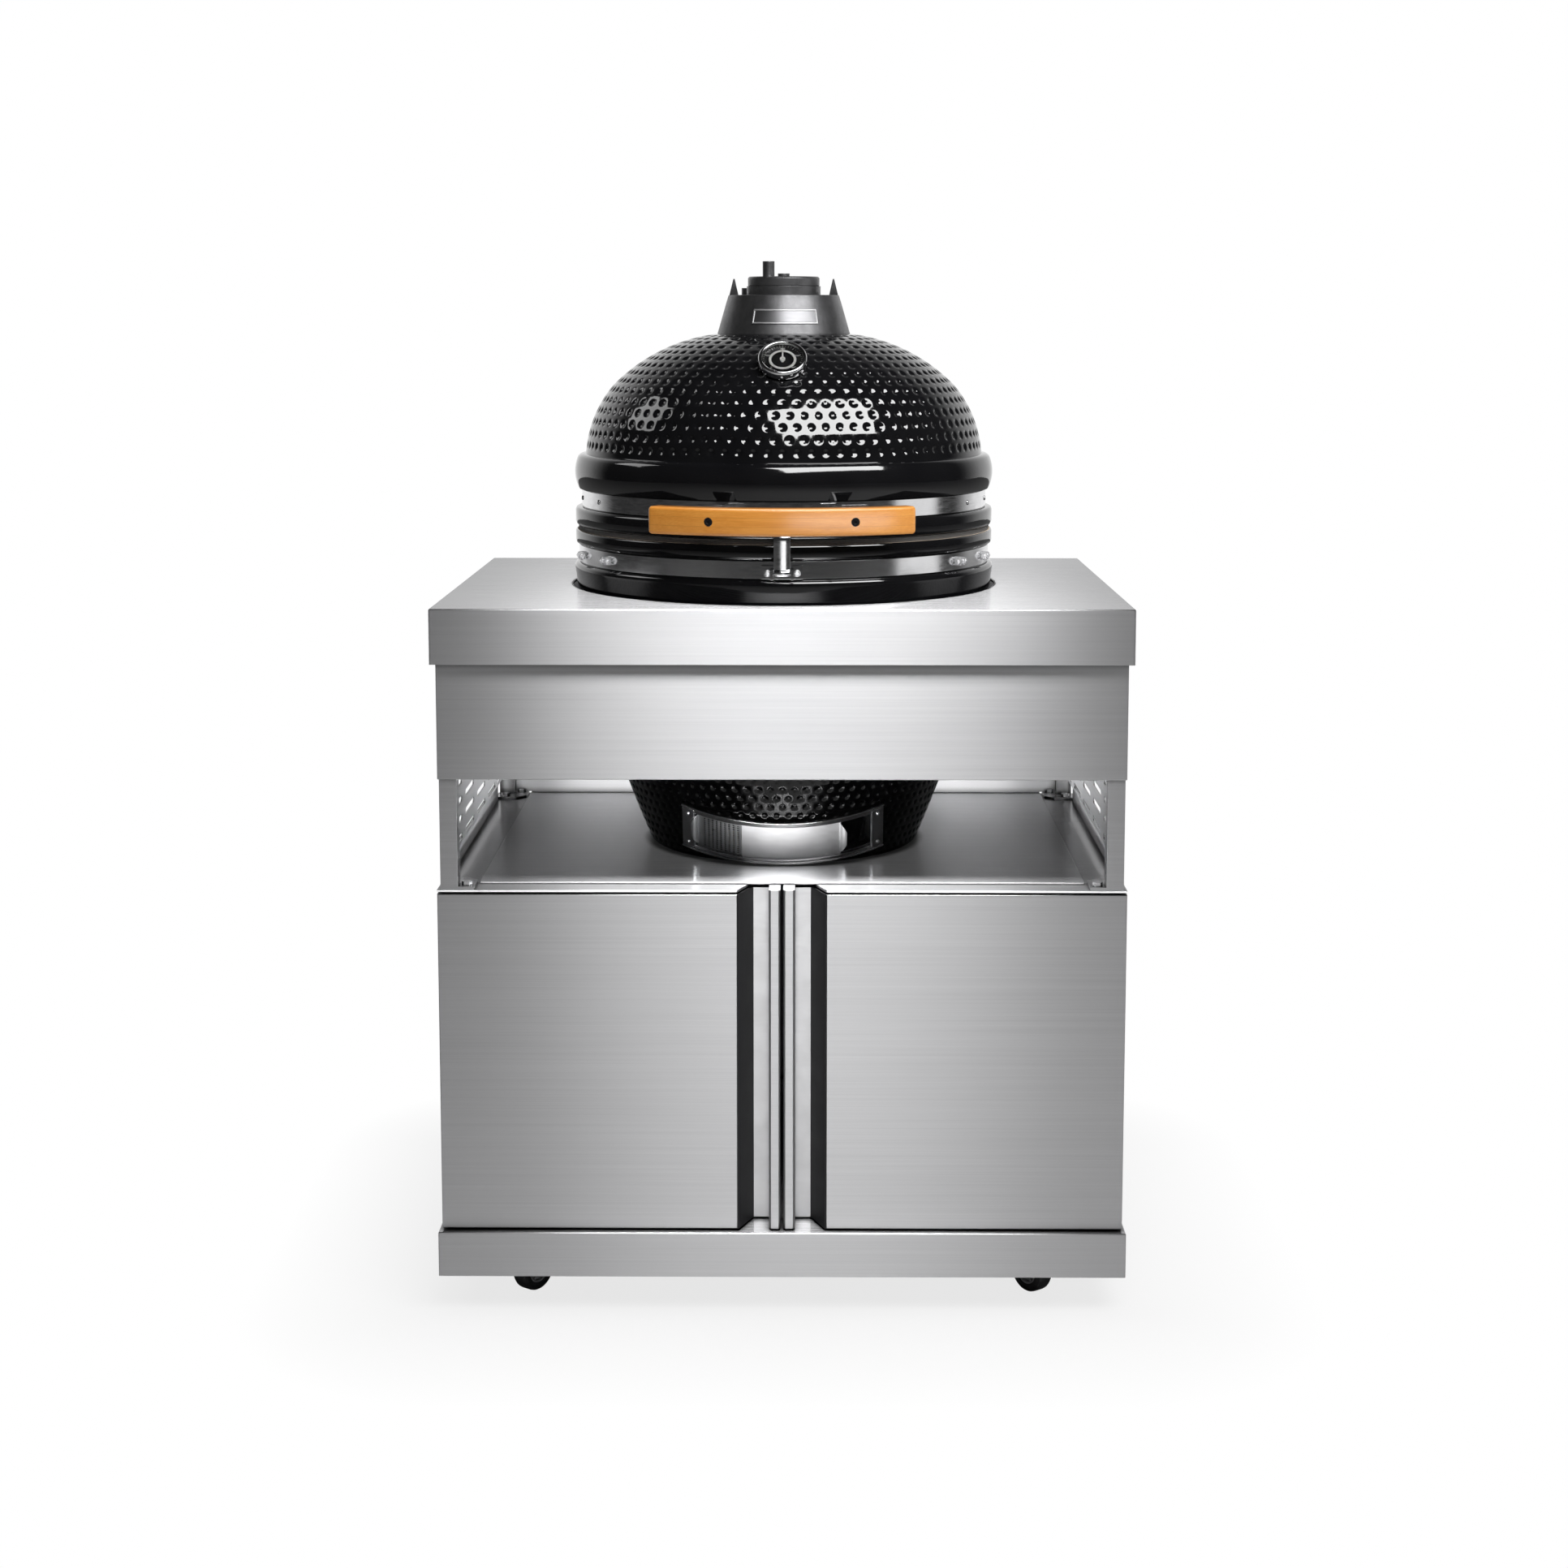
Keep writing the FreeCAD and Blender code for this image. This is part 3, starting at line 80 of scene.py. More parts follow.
# Material building
class Graph:
    """The node tree of a new material, a world or a lamp."""

    def __init__(self, owner):
        self.owner = bpy.data.materials.new(owner) if isinstance(owner, str) else owner
        self.owner.use_nodes = True
        self.tree = self.owner.node_tree
        self.tree.nodes.clear()
        self.coords = self.tree.nodes.new("ShaderNodeTexCoord").outputs

    def feed(self, socket, value):
        if isinstance(value, bpy.types.NodeSocket):
            self.tree.links.new(value, socket)
        else:
            socket.default_value = value

    def node(self, kind, inputs=None, out=0, **settings):
        """Adds a node with its inputs and settings, and gives one of its outputs."""
        node = self.tree.nodes.new("ShaderNode" + kind)
        for name, value in settings.items():
            setattr(node, name, value)
        for key, value in (inputs or {}).items():
            self.feed(node.inputs[key], value)
        return node.outputs[out]

    def end(self, kind, shader):
        """Ends the tree in the output of a material, world or light."""
        self.feed(self.tree.nodes.new("ShaderNodeOutput" + kind).inputs["Surface"], shader)

    def shade(self, **values):
        """Ends a material in the principled shader, with underscores for a socket's spaces."""
        sockets = {name.replace("_", " "): value for name, value in values.items()}
        self.end("Material", self.node("BsdfPrincipled", sockets))
        return self.owner

    def scaled(self, factors):
        """Object coordinates times a factor, or times one for each axis."""
        if not isinstance(factors, tuple):
            factors = (factors,) * 3
        return self.node("Mapping", {"Vector": self.coords["Object"], "Scale": factors})

    def noise(self, factors, detail=2.0, rough=0.5):
        """Noise over scaled coordinates or a given vector."""
        vector = factors if isinstance(factors, bpy.types.NodeSocket) else self.scaled(factors)
        inputs = {"Vector": vector, "Scale": 1.0, "Detail": detail, "Roughness": rough}
        return self.node("TexNoise", inputs, "Fac")

    def math(self, operation, a, b=0.0, **settings):
        return self.node("Math", {0: a, 1: b}, operation=operation, **settings)

    def axis(self, vector, index):
        return self.node("SeparateXYZ", {0: vector}, index)

    def spread(self, value, low_out, high_out, low_in=0.3, high_in=0.7, **settings):
        """Maps one range of a value onto another, without going past its ends."""
        inputs = {"Value": value, "From Min": low_in, "From Max": high_in,
                  "To Min": low_out, "To Max": high_out}
        return self.node("MapRange", inputs, **settings)

    def ramp(self, value, *tones, places=(0.3, 0.7)):
        """A colour ramp with a tone at each place."""
        colour = self.node("ValToRGB", {"Fac": value}, "Color")
        elements = colour.node.color_ramp.elements
        while len(elements) < len(tones):
            elements.new(0.5)
        for element, place, tone in zip(elements, places, tones):
            element.position = place
            element.color = (*tone, 1.0)
        return colour

    def mix(self, factor, a, b):
        """Mixes two vectors by a factor."""
        return self.node("Mix", {0: factor, 4: a, 5: b}, 1, data_type="VECTOR")

    def mix_colour(self, factor, a, b, blend="MIX"):
        return self.node("Mix", {0: factor, 6: a, 7: b}, 2, data_type="RGBA", blend_type=blend)

    def bump(self, height, distance, strength, normal=None):
        inputs = {"Distance": distance * mm, "Strength": strength, "Height": height}
        if normal is not None:
            inputs["Normal"] = normal
        return self.node("Bump", inputs)

    def painted_corner_shade(self, distance):
        """Painted shade: 1 on open surfaces, falling in narrow corners and under overhangs, to darken a
        colour.
        """
        open_share = self.node("AmbientOcclusion", {"Distance": distance * mm}, "AO", samples=8)
        return self.spread(open_share, 0.15, 1.0, 0.42, 0.92)

    def rounded(self, radius):
        """Edges that catch the light as if they were rounded."""
        return self.node("Bevel", {"Radius": radius * mm}, samples=6)


def shaded(tone, factor):
    """A colour made darker or paler."""
    return tuple(min(1.0, c * factor) for c in tone)


def brushed_steel(name, tone, rough):
    """Sheet steel with a level grain, along X, and along Y on side faces, and painted shade in its corners
    and under overhangs.
    """
    g = Graph(name)
    normal = g.coords["Normal"]
    side = g.math("GREATER_THAN", g.math("ABSOLUTE", g.axis(normal, 0)), 0.7)
    top = g.math("GREATER_THAN", g.axis(normal, 2), 0.7)

    def grain(along, across):
        """Noise drawn out along the brushing."""
        level, turned = g.scaled((along, across, across)), g.scaled((across, along, across))
        return g.noise(g.mix(side, level, turned), 3.0, 0.6)

    fine, wide, cloud = grain(5.0, 2600.0), grain(1.2, 240.0), g.noise(2.5)
    streaks = 0.0875
    tones = (shaded(tone, 1 - streaks), shaded(tone, 1 + streaks))
    colour = g.mix_colour(0.4, g.ramp(fine, *tones, places=(0.25, 0.75)), g.ramp(wide, *tones))
    # Painted shade: the steel's colour is darkened in narrow corners and under overhangs, as below the
    # worktop's front edge.
    colour = g.mix_colour(1.0, colour, g.painted_corner_shade(14), "MULTIPLY")
    roughness = g.math("ADD", g.spread(fine, rough - 0.03, rough + 0.03), g.spread(cloud, -0.012, 0.012))
    roughness = g.math("SUBTRACT", roughness, g.math("MULTIPLY", top, 0.12))
    brush = g.node("VectorTransform", {0: g.mix(side, (1.0, 0.0, 0.0), (0.0, 1.0, 0.0))},
                   vector_type="VECTOR", convert_from="OBJECT", convert_to="WORLD")
    edge = g.rounded(0.8)
    stretch = g.node("VectorMath", {0: edge, 1: brush}, operation="CROSS_PRODUCT")
    return g.shade(Base_Color=colour, Metallic=1.0, Roughness=roughness, Anisotropic=1.0,
                   Tangent=stretch, Normal=g.bump(fine, 0.002, 0.15, edge))


def even_finish(name, tone, rough, skin, cloud, tones, swing, relief, metallic=0.0):
    """Clouds of two tones under a fine skin. Relief is depth, strength and edge radius."""
    g = Graph(name)
    skin, cloud = g.noise(*skin), g.noise(*cloud)
    depth, strength, edge = relief
    return g.shade(Base_Color=g.ramp(cloud, *[shaded(tone, factor) for factor in tones]), Metallic=metallic,
                   Roughness=g.spread(skin if metallic else cloud, rough - swing[0], rough + swing[1]),
                   Normal=g.bump(skin, depth, strength, g.rounded(edge)))


def polished_steel(name, tone, rough):
    """Bright steel for bands, brackets and fasteners, with faint wipe marks."""
    return even_finish(name, tone, rough, ((60, 60, 400), 3.0, 0.6), (30,), (0.9, 1.0),
                       (0.03, 0.05), (0.01, 0.3, 0.5), 1.0)


def cast_metal(name, tone, rough):
    """Cast and painted iron with a sand-cast skin."""
    return even_finish(name, tone, rough, (700, 3.0, 0.6), (40, 3.0, 0.55), (0.75, 1.2),
                       (0.06, 0.08), (0.25, 0.6, 0.8), 0.9)


def painted(name, tone, rough):
    """Satin powder coat, rubber and moulded plastic."""
    return even_finish(name, tone, rough, (500,), (25,), (0.85, 1.15), (0.04, 0.05), (0.08, 0.5, 0.5))


def glaze(name):
    """Black glazed ceramic: deep gloss over a slightly uneven body."""
    g = Graph(name)
    ripple, tint, speck = g.noise(55), g.noise(12), g.noise(900, 2.0, 0.6)
    rough = g.math("ADD", g.spread(speck, 0.05, 0.08, 0.35), g.spread(tint, 0.0, 0.02))
    return g.shade(Base_Color=g.ramp(tint, (0.0022, 0.0022, 0.0026), (0.0036, 0.0036, 0.004)),
                   Roughness=rough, IOR=1.52, Normal=g.bump(ripple, 0.35, 0.25))


def rough_ceramic(name, pale, dark):
    """Unglazed firebrick and the raw inside of the shells."""
    g = Graph(name)
    grains = g.node("TexVoronoi", {"Vector": g.coords["Object"], "Scale": 900.0}, "Distance")
    cloud = g.noise(18, 4.0, 0.6)
    colour = g.mix_colour(0.25, g.ramp(cloud, dark, pale), g.ramp(grains, dark, pale, places=(0.1, 0.5)))
    return g.shade(Base_Color=colour, Roughness=g.spread(cloud, 0.8, 0.92),
                   Normal=g.bump(g.noise(700, 3.0, 0.6), 0.3, 0.5))


def bamboo(name):
    """Laminated bamboo: strips with darker seams and fine fibres along the handle."""
    g = Graph(name)
    strip_height, seam_share = 11.5 * mm, 0.05
    strip = g.math("FRACT", g.math("DIVIDE", g.axis(g.coords["Object"], 2), strip_height))
    fibre, streak = g.noise((14, 500, 900), 4.0, 0.65), g.noise((7, 60, 160), 3.0, 0.6)
    colour = g.ramp(streak, (0.58, 0.2, 0.018), (0.72, 0.28, 0.035), (0.82, 0.37, 0.065),
                    places=(0.25, 0.5, 0.78))
    colour = g.mix_colour(0.35, colour, g.ramp(fibre, (0.50, 0.15, 0.013), (0.84, 0.38, 0.075)))
    colour = g.mix_colour(0.2, colour, g.ramp(g.noise(9), (0.60, 0.20, 0.02), (0.80, 0.36, 0.07)))
    seam = g.math("MULTIPLY", g.math("LESS_THAN", strip, seam_share), 0.35)
    return g.shade(Base_Color=g.mix_colour(seam, colour, (0.36, 0.12, 0.02, 1.0)),
                   Roughness=g.spread(fibre, 0.32, 0.45), Coat_Weight=1.0, Coat_Roughness=0.22,
                   Normal=g.bump(fibre, 0.05, 0.5))


def felt(name):
    g = Graph(name)
    fuzz = g.noise(900, 4.0, 0.7)
    return g.shade(Base_Color=g.ramp(fuzz, (0.035, 0.033, 0.03), (0.11, 0.105, 0.1)), Roughness=0.95,
                   Sheen_Weight=0.3, Normal=g.bump(fuzz, 0.4, 0.8))


def clear_glass(name):
    g = Graph(name)
    return g.shade(Base_Color=white, Roughness=g.spread(g.noise(80), 0.0, 0.03),
                   Transmission_Weight=1.0, IOR=1.45)


steel = brushed_steel("brushed_steel", (0.66, 0.66, 0.67), 0.38)
deck_steel = brushed_steel("deck_steel", (0.66, 0.66, 0.67), 0.42)
bright = polished_steel("bright_steel", (0.74, 0.74, 0.75), 0.16)
mirror_steel = polished_steel("mirror_steel", (0.84, 0.84, 0.85), 0.42)
satin_steel = polished_steel("satin_steel", (0.85, 0.85, 0.86), 0.5)
plate_steel = polished_steel("plate_steel", (0.32, 0.32, 0.33), 0.38)
zinc = polished_steel("zinc", (0.58, 0.59, 0.6), 0.3)
black_glaze = glaze("black_glaze")
raw_ceramic = rough_ceramic("raw_ceramic", (0.42, 0.34, 0.26), (0.27, 0.21, 0.155))
grate_iron = cast_metal("grate_iron", (0.09, 0.09, 0.092), 0.55)
rubber = painted("rubber", (0.012, 0.012, 0.013), 0.55)
hub_plastic = painted("hub_plastic", (0.34, 0.34, 0.35), 0.35)
bamboo_wood = bamboo("bamboo")
dial_black = painted("dial_black", (0.012, 0.012, 0.013), 0.3)
dial_white = painted("dial_white", (0.75, 0.75, 0.73), 0.4)
black_oxide = painted("black_oxide", (0.01, 0.01, 0.011), 0.3)

finish_of_slot = {
    "steel": steel, "bright_steel": bright, "zinc": zinc, "glaze": black_glaze, "bamboo": bamboo_wood,
    "tyre": rubber, "felt": felt("felt"), "glass": clear_glass("glass"),
    "firebrick": rough_ceramic("firebrick", (0.58, 0.50, 0.39), (0.42, 0.35, 0.26)),
    "cast_iron": cast_metal("cast_iron", (0.2, 0.2, 0.205), 0.4),
    "black_trim": painted("black_trim", (0.018, 0.018, 0.02), 0.42),
    "needle_red": painted("needle_red", (0.5, 0.02, 0.015), 0.35),
}
slot_of_node = {row["node"]: row["material_slot"] for row in frame["record"]["subparts"]}
behaviour = frame["record"]["behaviour"]
body_of_node = {node: body for body, group in behaviour["bodies"].items() for node in group}
finish_of_node = {node: finish_of_slot[slot] for node, slot in slot_of_node.items()}
finish_of_node.update(deck=deck_steel, deck_plate=deck_steel, charcoal_grate=grate_iron,
                      cooking_grate=bright, thermometer_needle=dial_white)
for name, cad in nodes.items():
    if not cad.material_slots:
        cad.data.materials.append(finish_of_node[name])
    for holder in cad.material_slots:
        holder.material = finish_of_node[name]


# Mesh building
def in_scene(name, data):
    """A new object in the scene."""
    thing = bpy.data.objects.new(name, data)
    bpy.context.scene.collection.objects.link(thing)
    return thing


def piece(name, mesh, body, slot, *materials):
    """A new object from a mesh, riding on a body."""
    for material in materials:
        mesh.materials.append(material)
    thing = in_scene(name, mesh)
    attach(thing, body)
    return thing


def smooth(mesh, angle):
    """Shades a mesh smooth, with edges sharper than an angle in degrees left sharp."""
    mesh.shade_smooth()
    mesh.set_sharp_from_angle(angle=radians(angle))


def finished(skin, name, body, slot, *materials, sharp=40, node=None):
    """A smooth piece from a skin, in place of a CAD node if one is named."""
    mesh = skin.mesh(name)
    smooth(mesh, sharp)
    thing = piece(name, mesh, body, slot, *materials)
    if node:
        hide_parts(node)


def spaced(start, end, count):
    """Even steps from start to end."""
    return [start + (end - start) * i / count for i in range(count + 1)]


def along(direction):
    """A turn that lays local Z along a direction."""
    return Vector(direction).to_track_quat("Z", "Y").to_matrix().to_4x4()


def front_turn(degrees, radius, z=0.0):
    """A point at an angle from the front, positive to the right."""
    a = radians(degrees)
    return Vector((radius * sin(a), -radius * cos(a), z))


def on_drum(radius, rise=0.0):
    """Places on an upright drum by angle, height and level above it."""
    return lambda u, v, level: front_turn(u, radius + level, rise + v)


def radial(turn, radius, z):
    """A place on a round body: local X along it, local Y up, local Z outwards."""
    out = front_turn(turn, 1.0)
    up = Vector((0, 0, 1))
    turned = Matrix((out.cross(-up), up, out)).transposed().to_4x4()
    return Matrix.Translation(front_turn(turn, radius, z)) @ turned


class Skin:
    """Vertices and faces of a mesh in mm. The matrix here, if any, places its points."""

    def __init__(self, here=None):
        self.here = here
        self.points, self.faces, self.tints = [], [], []

    def add(self, point):
        self.points.append(point if self.here is None else self.here @ Vector(point))
        return len(self.points) - 1

    def quad(self, *corners, tint=0):
        self.faces.append(corners)
        self.tints.append(tint)

    def ring(self, radius, z, count):
        turns = spaced(0.0, full_turn, count)[:-1]
        return [self.add((radius * cos(turn), radius * sin(turn), z)) for turn in turns]

    def join(self, lower, upper, tint=0):
        """Faces between two rings of the same count."""
        for i in range(-1, len(lower) - 1):
            self.quad(lower[i], lower[i + 1], upper[i + 1], upper[i], tint=tint)

    def zip(self, lower, upper, tint=0):
        """Triangles between two rings of different counts, which both run anticlockwise."""
        def turn(index):
            x, y, z = self.points[index]
            return atan2(y, x) % full_turn

        def opened(ring):
            """The ring from its first angle and back to it, and the angles."""
            ring = sorted(ring, key=turn)
            return ring + ring[:1], [turn(index) for index in ring] + [full_turn + turn(ring[0])]

        (lows, low_turns), (highs, high_turns) = opened(lower), opened(upper)
        i = j = 0
        while i < len(lower) or j < len(upper):
            if j == len(upper) or (i < len(lower) and low_turns[i + 1] <= high_turns[j + 1]):
                self.quad(lows[i], lows[i + 1], highs[j], tint=tint)
                i += 1
            else:
                self.quad(lows[i], highs[j + 1], highs[j], tint=tint)
                j += 1

    def stack(self, below, points, count=round_count, tint=0):
        """Rings through (radius, height) points. Gives the last one."""
        for radius, z in points:
            above = self.ring(radius, z, count)
            connect = self.join if len(below) == count else self.zip
            connect(below, above, tint)
            below = above
        return below

    def fan(self, ring, middle, tint=0):
        """Closes a ring with triangles round a middle point."""
        for i in range(-1, len(ring) - 1):
            self.quad(ring[i], ring[i + 1], middle, tint=tint)

    def prism(self, first, last, tint=0):
        """Closes the space between two outlines; the last runs anticlockwise, seen from outside."""
        self.join(first, last, tint)
        self.quad(*first[::-1], tint=tint)
        self.quad(*last, tint=tint)

    def box(self, lowest, highest, tint=0):
        (x0, y0, z0), (x1, y1, z1) = lowest, highest
        outline = ((x0, y0), (x1, y0), (x1, y1), (x0, y1))
        self.prism(*[[self.add((x, y, z)) for x, y in outline] for z in (z0, z1)], tint)
        return self

    def lathe(self, profile, count, tint=0):
        """A body turned about Z from (radius, height) points; a zero radius closes it."""
        rings = [self.ring(radius, z, count) for radius, z in profile if radius > 0]
        for lower, upper in zip(rings, rings[1:]):
            self.join(lower, upper, tint)
        (first, bottom), (last, top) = profile[0], profile[-1]
        if first == 0:
            self.fan(rings[0][::-1], self.add((0, 0, bottom)), tint)
        if last == 0:
            self.fan(rings[-1], self.add((0, 0, top)), tint)
        if first > 0 and last > 0:
            self.join(rings[-1], rings[0], tint)
        return self

    def patch(self, place, columns, rows, front, back, hole=None):
        """A closed body over a grid, between the levels front and back. place gives a point for a column,
        row and level. A hole's eight corners cut every cell but those of the margin."""
        levels = (lambda u, v: back, front if callable(front) else lambda u, v: front)
        sides = [{(i, j): self.add(place(u, v, level(u, v))) for j, v in enumerate(rows)
                  for i, u in enumerate(columns)} for level in levels]
        right, top = len(columns) - 1, len(rows) - 1
        for i in range(right):
            for j in range(top):
                cell = ((i, j), (i + 1, j), (i + 1, j + 1), (i, j + 1))
                cut = hole and 0 < i < right - 1 and 0 < j < top - 1
                u, v = (columns[i] + columns[i + 1]) / 2, (rows[j] + rows[j + 1]) / 2
                loops = []
                for side, level, step in zip(sides, levels, (-1, 1)):
                    ring = [side[corner] for corner in cell]
                    if not cut:
                        self.quad(*ring[::step])
                        continue
                    loop = [self.add(place(u + du, v + dv, level(u, v))) for du, dv in hole]
                    for c in range(4):
                        k = 2 * c
                        face = (ring[c], ring[(c + 1) % 4], loop[(k + 2) % 8], loop[k + 1], loop[k])
                        self.quad(*face[::step])
                    loops.append(loop)
                if cut:
                    self.join(loops[1], loops[0])
        edge = [(i, 0) for i in range(right)] + [(right, j) for j in range(top)]
        edge += [(i, top) for i in range(right, 0, -1)] + [(0, j) for j in range(top, 0, -1)]
        self.join(*[[side[corner] for corner in edge] for side in sides])
        return self

    def mesh(self, name):
        mesh = bpy.data.meshes.new(name)
        mesh.from_pydata([Vector(point) * mm for point in self.points], [], self.faces)
        mesh.update()
        for face, tint in zip(mesh.polygons, self.tints):
            face.material_index = tint
        return mesh


def worked(thing, kind, **settings):
    """Adds a modifier with its settings and applies it."""
    modifier = thing.modifiers.new("step", kind)
    for name, value in settings.items():
        setattr(modifier, name, value)
    with bpy.context.temp_override(object=thing, active_object=thing):
        bpy.ops.object.modifier_apply(modifier=modifier.name)


def carve(target, skin):
    """Cuts a closed shape out of a piece."""
    tool = in_scene("cutter", skin.mesh("cutter"))
    worked(target, "BOOLEAN", operation="DIFFERENCE", solver="EXACT", object=tool)
    bpy.data.objects.remove(tool)


# Dimpled ceramic
def arc(start, middle, end, count):
    """Points along the circle through three (radius, height) points."""
    (ax, ay), (bx, by), (cx, cy) = start, middle, end
    a, b, c = ax**2 + ay**2, bx**2 + by**2, cx**2 + cy**2
    d = 2 * (ax * (by - cy) + bx * (cy - ay) + cx * (ay - by))
    x = (a * (by - cy) + b * (cy - ay) + c * (ay - by)) / d
    y = (a * (cx - bx) + b * (ax - cx) + c * (bx - ax)) / d
    radius = hypot(ax - x, ay - y)
    first, last = atan2(ay - y, ax - x), atan2(cy - y, cx - x)
    sweep = (last - first + pi) % full_turn - pi
    return [(x + radius * cos(turn), y + radius * sin(turn))
            for turn in spaced(first, first + sweep, count - 1)]


class Meridian:
    """A surface's outline from bottom to top, walked by its length."""

    def __init__(self, points):
        self.points = points
        self.lengths = [0.0]
        for start, end in zip(points, points[1:]):
            self.lengths.append(self.lengths[-1] + dist(start, end))
        self.total = self.lengths[-1]

    def at(self, length):
        """Radius, height and outward normal at a length along the outline."""
        k = 0
        while k < len(self.points) - 2 and self.lengths[k + 1] < length:
            k += 1
        (r0, z0), (r1, z1) = self.points[k], self.points[k + 1]
        span = self.lengths[k + 1] - self.lengths[k]
        t = (length - self.lengths[k]) / span
        return r0 + (r1 - r0) * t, z0 + (z1 - z0) * t, (z1 - z0) / span, -(r1 - r0) / span


# Round hollows in staggered rows; rings are the shares of the radius with a ring of the mesh
Dimples = namedtuple("Dimples", "pitch step radius depth rings")
dome_dimples = Dimples(16.5, 18.5, 7.3, 2.0, (1.0, 0.86, 0.7, 0.54, 0.38, 0.2))
body_dimples = Dimples(12.8, 15.6, 5.7, 1.6, (1.0, 0.8, 0.58, 0.34))
hidden_dimples = Dimples(16.5, 18.5, 7.3, 2.0, (1.0, 0.62, 0.3))


def dimple_row(skin, outline, length, first, pattern):
    """One row of dimples round the shell. Gives the row's lowest and highest ring."""
    radius = outline.at(length)[0]
    count = round(full_turn * radius / pattern.step)
    width, half, parts = full_turn / count, pattern.pitch * 0.47, 4

    def place(turn, offset, sink=0.0):
        r, z, out_r, out_z = outline.at(length + offset)
        r, z = r - sink * out_r, z - sink * out_z
        return skin.add((r * cos(turn), r * sin(turn), z))

    seams = [[place(first + (i - 0.5) * width, offset) for offset in spaced(-half, half, parts)]
             for i in range(count)]
    bottom, top = [], []
    for i in range(count):
        centre = first + i * width
        left, right = seams[i], seams[(i + 1) % count]
        between = spaced(centre - width / 2, centre + width / 2, parts)[1:-1]
        lows, highs = [[place(turn, edge) for turn in between] for edge in (-half, half)]
        bottom += [left[0]] + lows
        top += [left[-1]] + highs
        ring = [left[0]] + lows + right + highs[::-1] + left[:0:-1]
        turns = [full_turn * k / len(ring) - 0.75 * pi for k in range(len(ring))]
        for share in pattern.rings:
            reach, sink = share * pattern.radius, pattern.depth * (1 + cos(pi * share)) / 2
            inner = [place(centre + reach * cos(turn) / radius, reach * sin(turn), sink)
                     for turn in turns]
            skin.join(ring, inner)
            ring = inner
        skin.fan(ring, place(centre, 0.0, pattern.depth))
    return bottom, top


def dimpled_zone(skin, outline, start, end, below, pattern):
    """Rows of dimples between two lengths, zipped to the ring below. Gives the last ring."""
    rows = int((end - start) / pattern.pitch)
    spare = (end - start - rows * pattern.pitch) / 2
    for k in range(rows):
        length = start + spare + (k + 0.5) * pattern.pitch
        count = round(full_turn * outline.at(length)[0] / pattern.step)
        first = -pi / 2 + (k % 2) * pi / count
        bottom, top = dimple_row(skin, outline, length, first, pattern)
        skin.zip(below, bottom)
        below = top
    return below


def lid_shell():
    """The dimpled dome with its collar, band groove and raw inside."""
    rim = low("ceramic_lid").z
    groove = rim + 24
    collar = groove + 25
    dome = collar + 46
    top = dome + 161
    outline = Meridian(arc((269, dome), (256.5, dome + 52), (231, dome + 92.5), 60)
                       + arc((231, dome + 92.5), (175, dome + 134.5), (92, top), 60)[1:])
    skin = Skin()
    start = skin.ring(262.5, rim, round_count)
    lip = [(278.5, rim), (282, rim + 1.5), (283.5, rim + 5), (283.5, groove - 4), (282.3, groove - 1.2),
           (279.5, groove), (273, groove), (273, collar)]
    wall = arc((279, collar + 0.3), (284, collar + 21), (279.6, dome - 3), 15)
    shoulder = [(276.5, dome - 0.4), (273, dome + 0.6), (269.6, dome + 1.2)]
    below = skin.stack(start, lip + wall + shoulder)
    below = dimpled_zone(skin, outline, 2.5, outline.total - 4, below, dome_dimples)
    neck = [(90, top + 0.2), (72, top + 1.5), (71, top + 11), (69.5, top + 12), (61.5, top + 12),
            (60, top + 10.5)]
    below = skin.stack(below, neck, neck_count)
    below = skin.stack(below, [(60, top - 18), (64, top - 24)], neck_count, 1)
    inner = arc((80, top - 25.5), (163, top - 48), (208, dome + 76), 10)
    inner += arc((208, dome + 76), (232, dome + 45), (245, dome - 6), 8)[1:]
    inner += [(249, collar + 10), (250, groove), (251, rim + 6), (253, rim)]
    skin.join(skin.stack(below, inner, tint=1), start, 1)
    finished(skin, "lid_shell", "lid", "glaze", black_glaze, raw_ceramic, sharp=50, node="ceramic_lid")


lid_shell()

# The draft door is drawn round an upright axis and tilted onto the body
draft_place = Matrix.Translation((0, -6.293, 666.294)) @ Matrix.Rotation(radians(22), 4, "X")
draft_radius = 205


def base_shell():
    """The dimpled body in the bay, smooth where it passes through the worktop."""
    foot = low("ceramic_base").z
    rim = high("ceramic_base").z
    groove = rim - 44
    lip = groove + 25
    belly = groove - 6
    middle = (foot + groove) / 2
    inner_floor = foot + 17
    outline = Meridian(arc((182, foot), (249, middle), (285, belly), 100))
    skin = Skin()
    start = skin.ring(176, foot, round_count)
    skin.fan(start[::-1], skin.add((0, 0, foot)))
    below = skin.stack(start, [(180, foot + 1), (183.3, foot + 4)])
    bay_top = 160
    below = dimpled_zone(skin, outline, 5, bay_top, below, body_dimples)
    below = dimpled_zone(skin, outline, bay_top, outline.total - 62, below, hidden_dimples)
    plain = [outline.at(outline.total - d)[:2] for d in (58, 50, 40, 30, 20, 10, 4, 1)]
    plain += [(284.6, belly + 2), (283, groove - 1.6), (280.5, groove - 0.3), (277.2, groove),
              (277.2, lip), (280, lip + 0.2), (282.4, lip + 1.6), (283.5, lip + 4.5),
              (283.5, rim - 2.5), (282.6, rim - 0.5), (281, rim)]
    below = skin.stack(below, plain)
    inner = [(262, rim), (261, rim - 1), (261, belly), (225, middle), (158, inner_floor)]
    below = skin.stack(below, inner, tint=1)
    skin.fan(below, skin.add((0, 0, inner_floor)), 1)
    mesh = skin.mesh("base_shell")
    shell = piece("base_shell", mesh, "root", "glaze", black_glaze, raw_ceramic)
    seat = Skin(draft_place)
    carve(shell, seat.patch(on_drum(draft_radius), spaced(-39.6, 39.6, 24), [-33.3, 33.3], 22, 0))
    carve(shell, Skin().box((-75, -285, inner_floor), (75, -134, foot + 47)))
    smooth(mesh, 50)
    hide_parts("ceramic_base")


base_shell()


